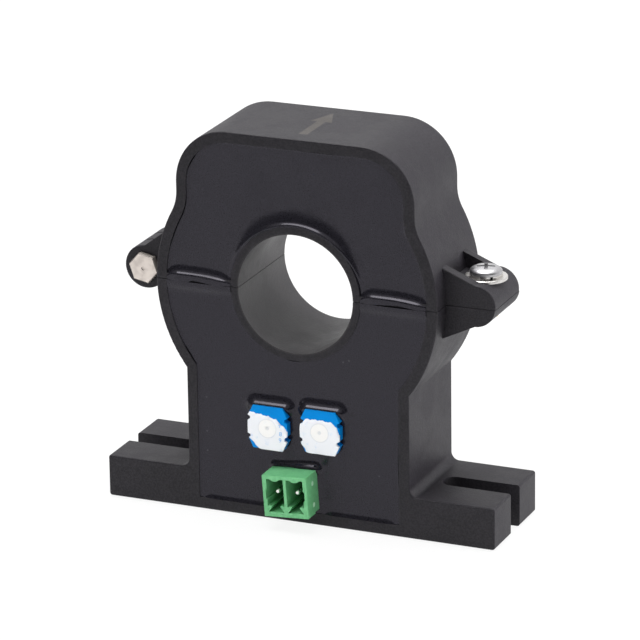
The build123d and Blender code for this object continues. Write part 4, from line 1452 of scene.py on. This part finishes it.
class Insides:
    """Core, winding, board and small parts, seen with the cap open or cut away."""

    def build(self, paint: Paint) -> None:
        """Dress the inner parts.

        Args:
            paint: Finishes to wear.
        """
        core = StripedFinish("strip_core", Run.RINGS, (0.52, 0.52, 0.54), (0.26, 0.26, 0.27),
                             0.2, 0.01, 1.0, 0.38)
        paint.dress(core, "lower_core", "upper_core")
        paint.dress(FoamFinish(), "core_cushion")
        paint.dress(StripedFinish("polyester_tape", Run.SPOKES, (0.80, 0.60, 0.10),
                                  (0.62, 0.44, 0.06), 6.0, 0.05, 0.0, 0.25), "core_wrap")
        paint.dress(StripedFinish("enamelled_wire", Run.SPOKES, (0.62, 0.25, 0.10),
                                  (0.30, 0.11, 0.04), 0.22, 0.11, 0.85, 0.26), "secondary_winding")
        paint.dress(PlasticFinish("lead_white", (0.74, 0.74, 0.70), (0.66, 0.66, 0.62)),
                    "lead_wires")
        paint.dress(PlasticFinish("board_green", (0.03, 0.22, 0.09), (0.05, 0.28, 0.12), 0.3, 900.0,
                                  0.01), "circuit_board")
        body = PlasticFinish("chip_black", (0.045, 0.045, 0.045), (0.06, 0.06, 0.06), 0.55)
        paint.dress(body, "amplifier", "bridge_rectifier", "chip_resistors")
        tan = PlasticFinish("capacitor_tan", (0.58, 0.42, 0.18), (0.50, 0.36, 0.15), 0.45)
        paint.dress(tan, "storage_capacitor", "chip_capacitors")


@dataclass
class Studio:
    """Camera, floor and light of the photograph."""

    yaw: float = 23.43
    pitch: float = 19.04
    roll: float = -0.81
    aim: Pair = (-0.233, 33.07)
    distance: float = 804.1
    lens: float = 250.0
    lit: Triple = (0.0, 0.0, 0.035)
    sky_for_shade: float = 0.55
    ceiling: float = 0.9
    front_dark: float = 0.05
    floor_shadow: float = 0.12
    floor_front: float = -0.28
    floor_fade: float = 0.09

    def directions(self) -> tuple[Vector, Vector, Vector]:
        """Find how the camera is turned.

        Returns:
            Its right, up and backward directions.
        """
        a, e, roll = radians(self.yaw), radians(self.pitch), radians(self.roll)
        back = Vector((sin(a) * cos(e), -cos(a) * cos(e), sin(e)))
        right = Vector((cos(a), sin(a), 0))
        up = back.cross(right)
        return cos(roll) * right + sin(roll) * up, cos(roll) * up - sin(roll) * right, back

    def camera(self) -> None:
        """Place the camera where the photograph was taken."""
        right, up, back = self.directions()
        data = bpy.data.cameras.new("camera")
        data.lens, data.sensor_width = self.lens, 36.0
        data.clip_start, data.clip_end = 0.05, 20.0
        eye = bpy.data.objects.new("camera", data)
        place = (right * self.aim[0] + up * self.aim[1] + back * self.distance) * MM
        turn = Matrix((right, up, back)).transposed().to_4x4()
        eye.matrix_world = Matrix.Translation(place) @ turn
        bpy.context.scene.collection.objects.link(eye)
        bpy.context.scene.camera = eye

    def lamp(self, name: str, place: Triple, size: Pair, power: float,
             mirrored: bool = False) -> None:
        """Add one soft rectangular lamp that faces the transducer.

        Args:
            name: Name of the lamp.
            place: Where it hangs, in metres.
            size: Its width and height in metres.
            power: Its power in watts.
            mirrored: Whether glossy surfaces show it.
        """
        data = bpy.data.lights.new(name, "AREA")
        data.shape, data.size, data.size_y, data.energy = "RECTANGLE", size[0], size[1], power
        lamp = bpy.data.objects.new(name, data)
        lamp.location = place
        lamp.rotation_mode = "QUATERNION"
        lamp.rotation_quaternion = (Vector(self.lit) - Vector(place)).to_track_quat("-Z", "Y")
        lamp.visible_glossy = mirrored
        bpy.context.scene.collection.objects.link(lamp)

    def world(self) -> None:
        """White behind and below, dim in front, with a soft even sky for shade."""
        world = bpy.data.worlds.new("studio")
        world.use_nodes = True
        bpy.context.scene.world = world
        graph = Graph(world.node_tree)
        direction = graph.add("ShaderNodeTexCoord").outputs["Generated"]
        _, along, height = graph.axes(direction)
        high = graph.span(height, 0.45, 0.9, self.front_dark, self.ceiling)
        mirror = graph.blend(graph.span(along, -0.1, 0.25), high, rgba((1, 1, 1)))
        shade = graph.span(height, -0.2, 0.9, self.sky_for_shade * 0.8, self.sky_for_shade * 1.15)
        paths = graph.add("ShaderNodeLightPath")
        seen = graph.math("MAXIMUM", paths.outputs["Is Glossy Ray"],
                          paths.outputs["Is Transmission Ray"])
        colour = graph.blend(seen, shade, mirror)
        colour = graph.blend(paths.outputs["Is Camera Ray"], colour, rgba((1, 1, 1)))
        backdrop = graph.add("ShaderNodeBackground", {"Color": colour, "Strength": 1.0})
        graph.add("ShaderNodeOutputWorld", {"Surface": backdrop.outputs[0]})

    def floor(self) -> None:
        """Pale floor that stays white to the camera and keeps a faint shadow."""
        bm = bmesh.new()
        bmesh.ops.create_grid(bm, x_segments=4, y_segments=4, size=1.0)
        bmesh.ops.translate(bm, verts=bm.verts, vec=(0, 1 + self.floor_front, -0.0002))
        material, graph, shader = surface("floor_white")
        graph.feed(shader, {"Base Color": rgba((0.86, 0.86, 0.86)), "Roughness": 0.9})
        paths = graph.add("ShaderNodeLightPath")
        seen = graph.math("MAXIMUM", paths.outputs["Is Camera Ray"],
                          paths.outputs["Is Glossy Ray"])
        seen = graph.math("MAXIMUM", seen, paths.outputs["Is Transmission Ray"])
        glow = graph.add("ShaderNodeEmission", {"Color": rgba((1, 1, 1)), "Strength": 1.0})
        near = graph.span(graph.axes(graph.place())[1], self.floor_front,
                          self.floor_front + self.floor_fade)
        lit = graph.math("MAXIMUM", near, paths.outputs["Is Camera Ray"])
        share = graph.math("MULTIPLY", graph.math("MULTIPLY", seen, lit), 1 - self.floor_shadow)
        mixed = graph.add("ShaderNodeMixShader", {0: share, 1: shader.outputs[0],
                                                  2: glow.outputs[0]})
        end = next(node for node in graph.tree.nodes if node.type == "OUTPUT_MATERIAL")
        graph.feed(end, {"Surface": mixed.outputs[0]})
        finished(bm, "floor", material)

    def build(self) -> None:
        """Set up the whole studio."""
        self.camera()
        self.world()
        self.floor()
        self.lamp("overhead_softbox", (-0.06, 0.03, 0.55), (0.45, 0.42), 4.2, mirrored=True)
        for name, place, power in (("front_fill", (-0.45, -0.6, 0.35), 1.6),
                                   ("side_fill", (0.55, 0.2, 0.04), 5.2),
                                   ("back_fill", (0.15, 0.5, 0.12), 4.0)):
            self.lamp(name, place, (0.3, 0.3), power)


def pours() -> list[ResinPour]:
    """Size the two pours with their films and slits.

    Returns:
        The cap's resin and the body's resin.
    """
    upper = UpperPour(
        node="upper_potting", name="upper_resin", body=Body.CAP, level=-9.8, cut=-7.0,
        bottom=42.6, top=70.5,
        films=(Film(-24.8, -12.45, 43.015, 44.6, (-20.6, -19.6, -15.9)),
               Film(12.45, 24.8, 43.015, 44.6, (14.0, 19.6, 23.4), 0.46)),
        slits=(Slit((-24.3, 49.0), (-21.2, 59.2), 0.15), Slit((-0.9, 69.5), (11.0, 69.5), 0.16),
               Slit((20.7, 58.0), (23.2, 52.4), 0.2), Slit((-20.4, 64.3), (-13.7, 69.2), 0.2)))
    lower = LowerPour(
        node="lower_potting", name="lower_resin", body=Body.BASE, level=-10.0, cut=-9.3,
        bottom=1.0, top=43.4,
        films=(Film(-24.8, -12.45, 41.8, 42.985), Film(12.45, 24.8, 41.8, 42.985)),
        slits=(Slit((19.4, 9.3), (19.4, 18.1), 0.16), Slit((-22.0, 30.4), (-20.1, 27.6), 0.2),
               Slit((-2.5, 30.7), (0.6, 30.6), 0.2)))
    return [upper, lower]


def main() -> None:
    """Build the transducer's looks piece by piece."""
    logging.basicConfig(level=logging.INFO, format="%(name)s: %(message)s")
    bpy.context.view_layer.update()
    bpy.context.scene.view_settings.view_transform = "Standard"
    paint = Paint()
    Studio().build()
    Housings().build(paint)
    for pour in pours():
        pour.build(paint)
    Terminals().build(paint)
    Fasteners().build(paint)
    Insides().build(paint)


if __name__ == "__main__":
    main()
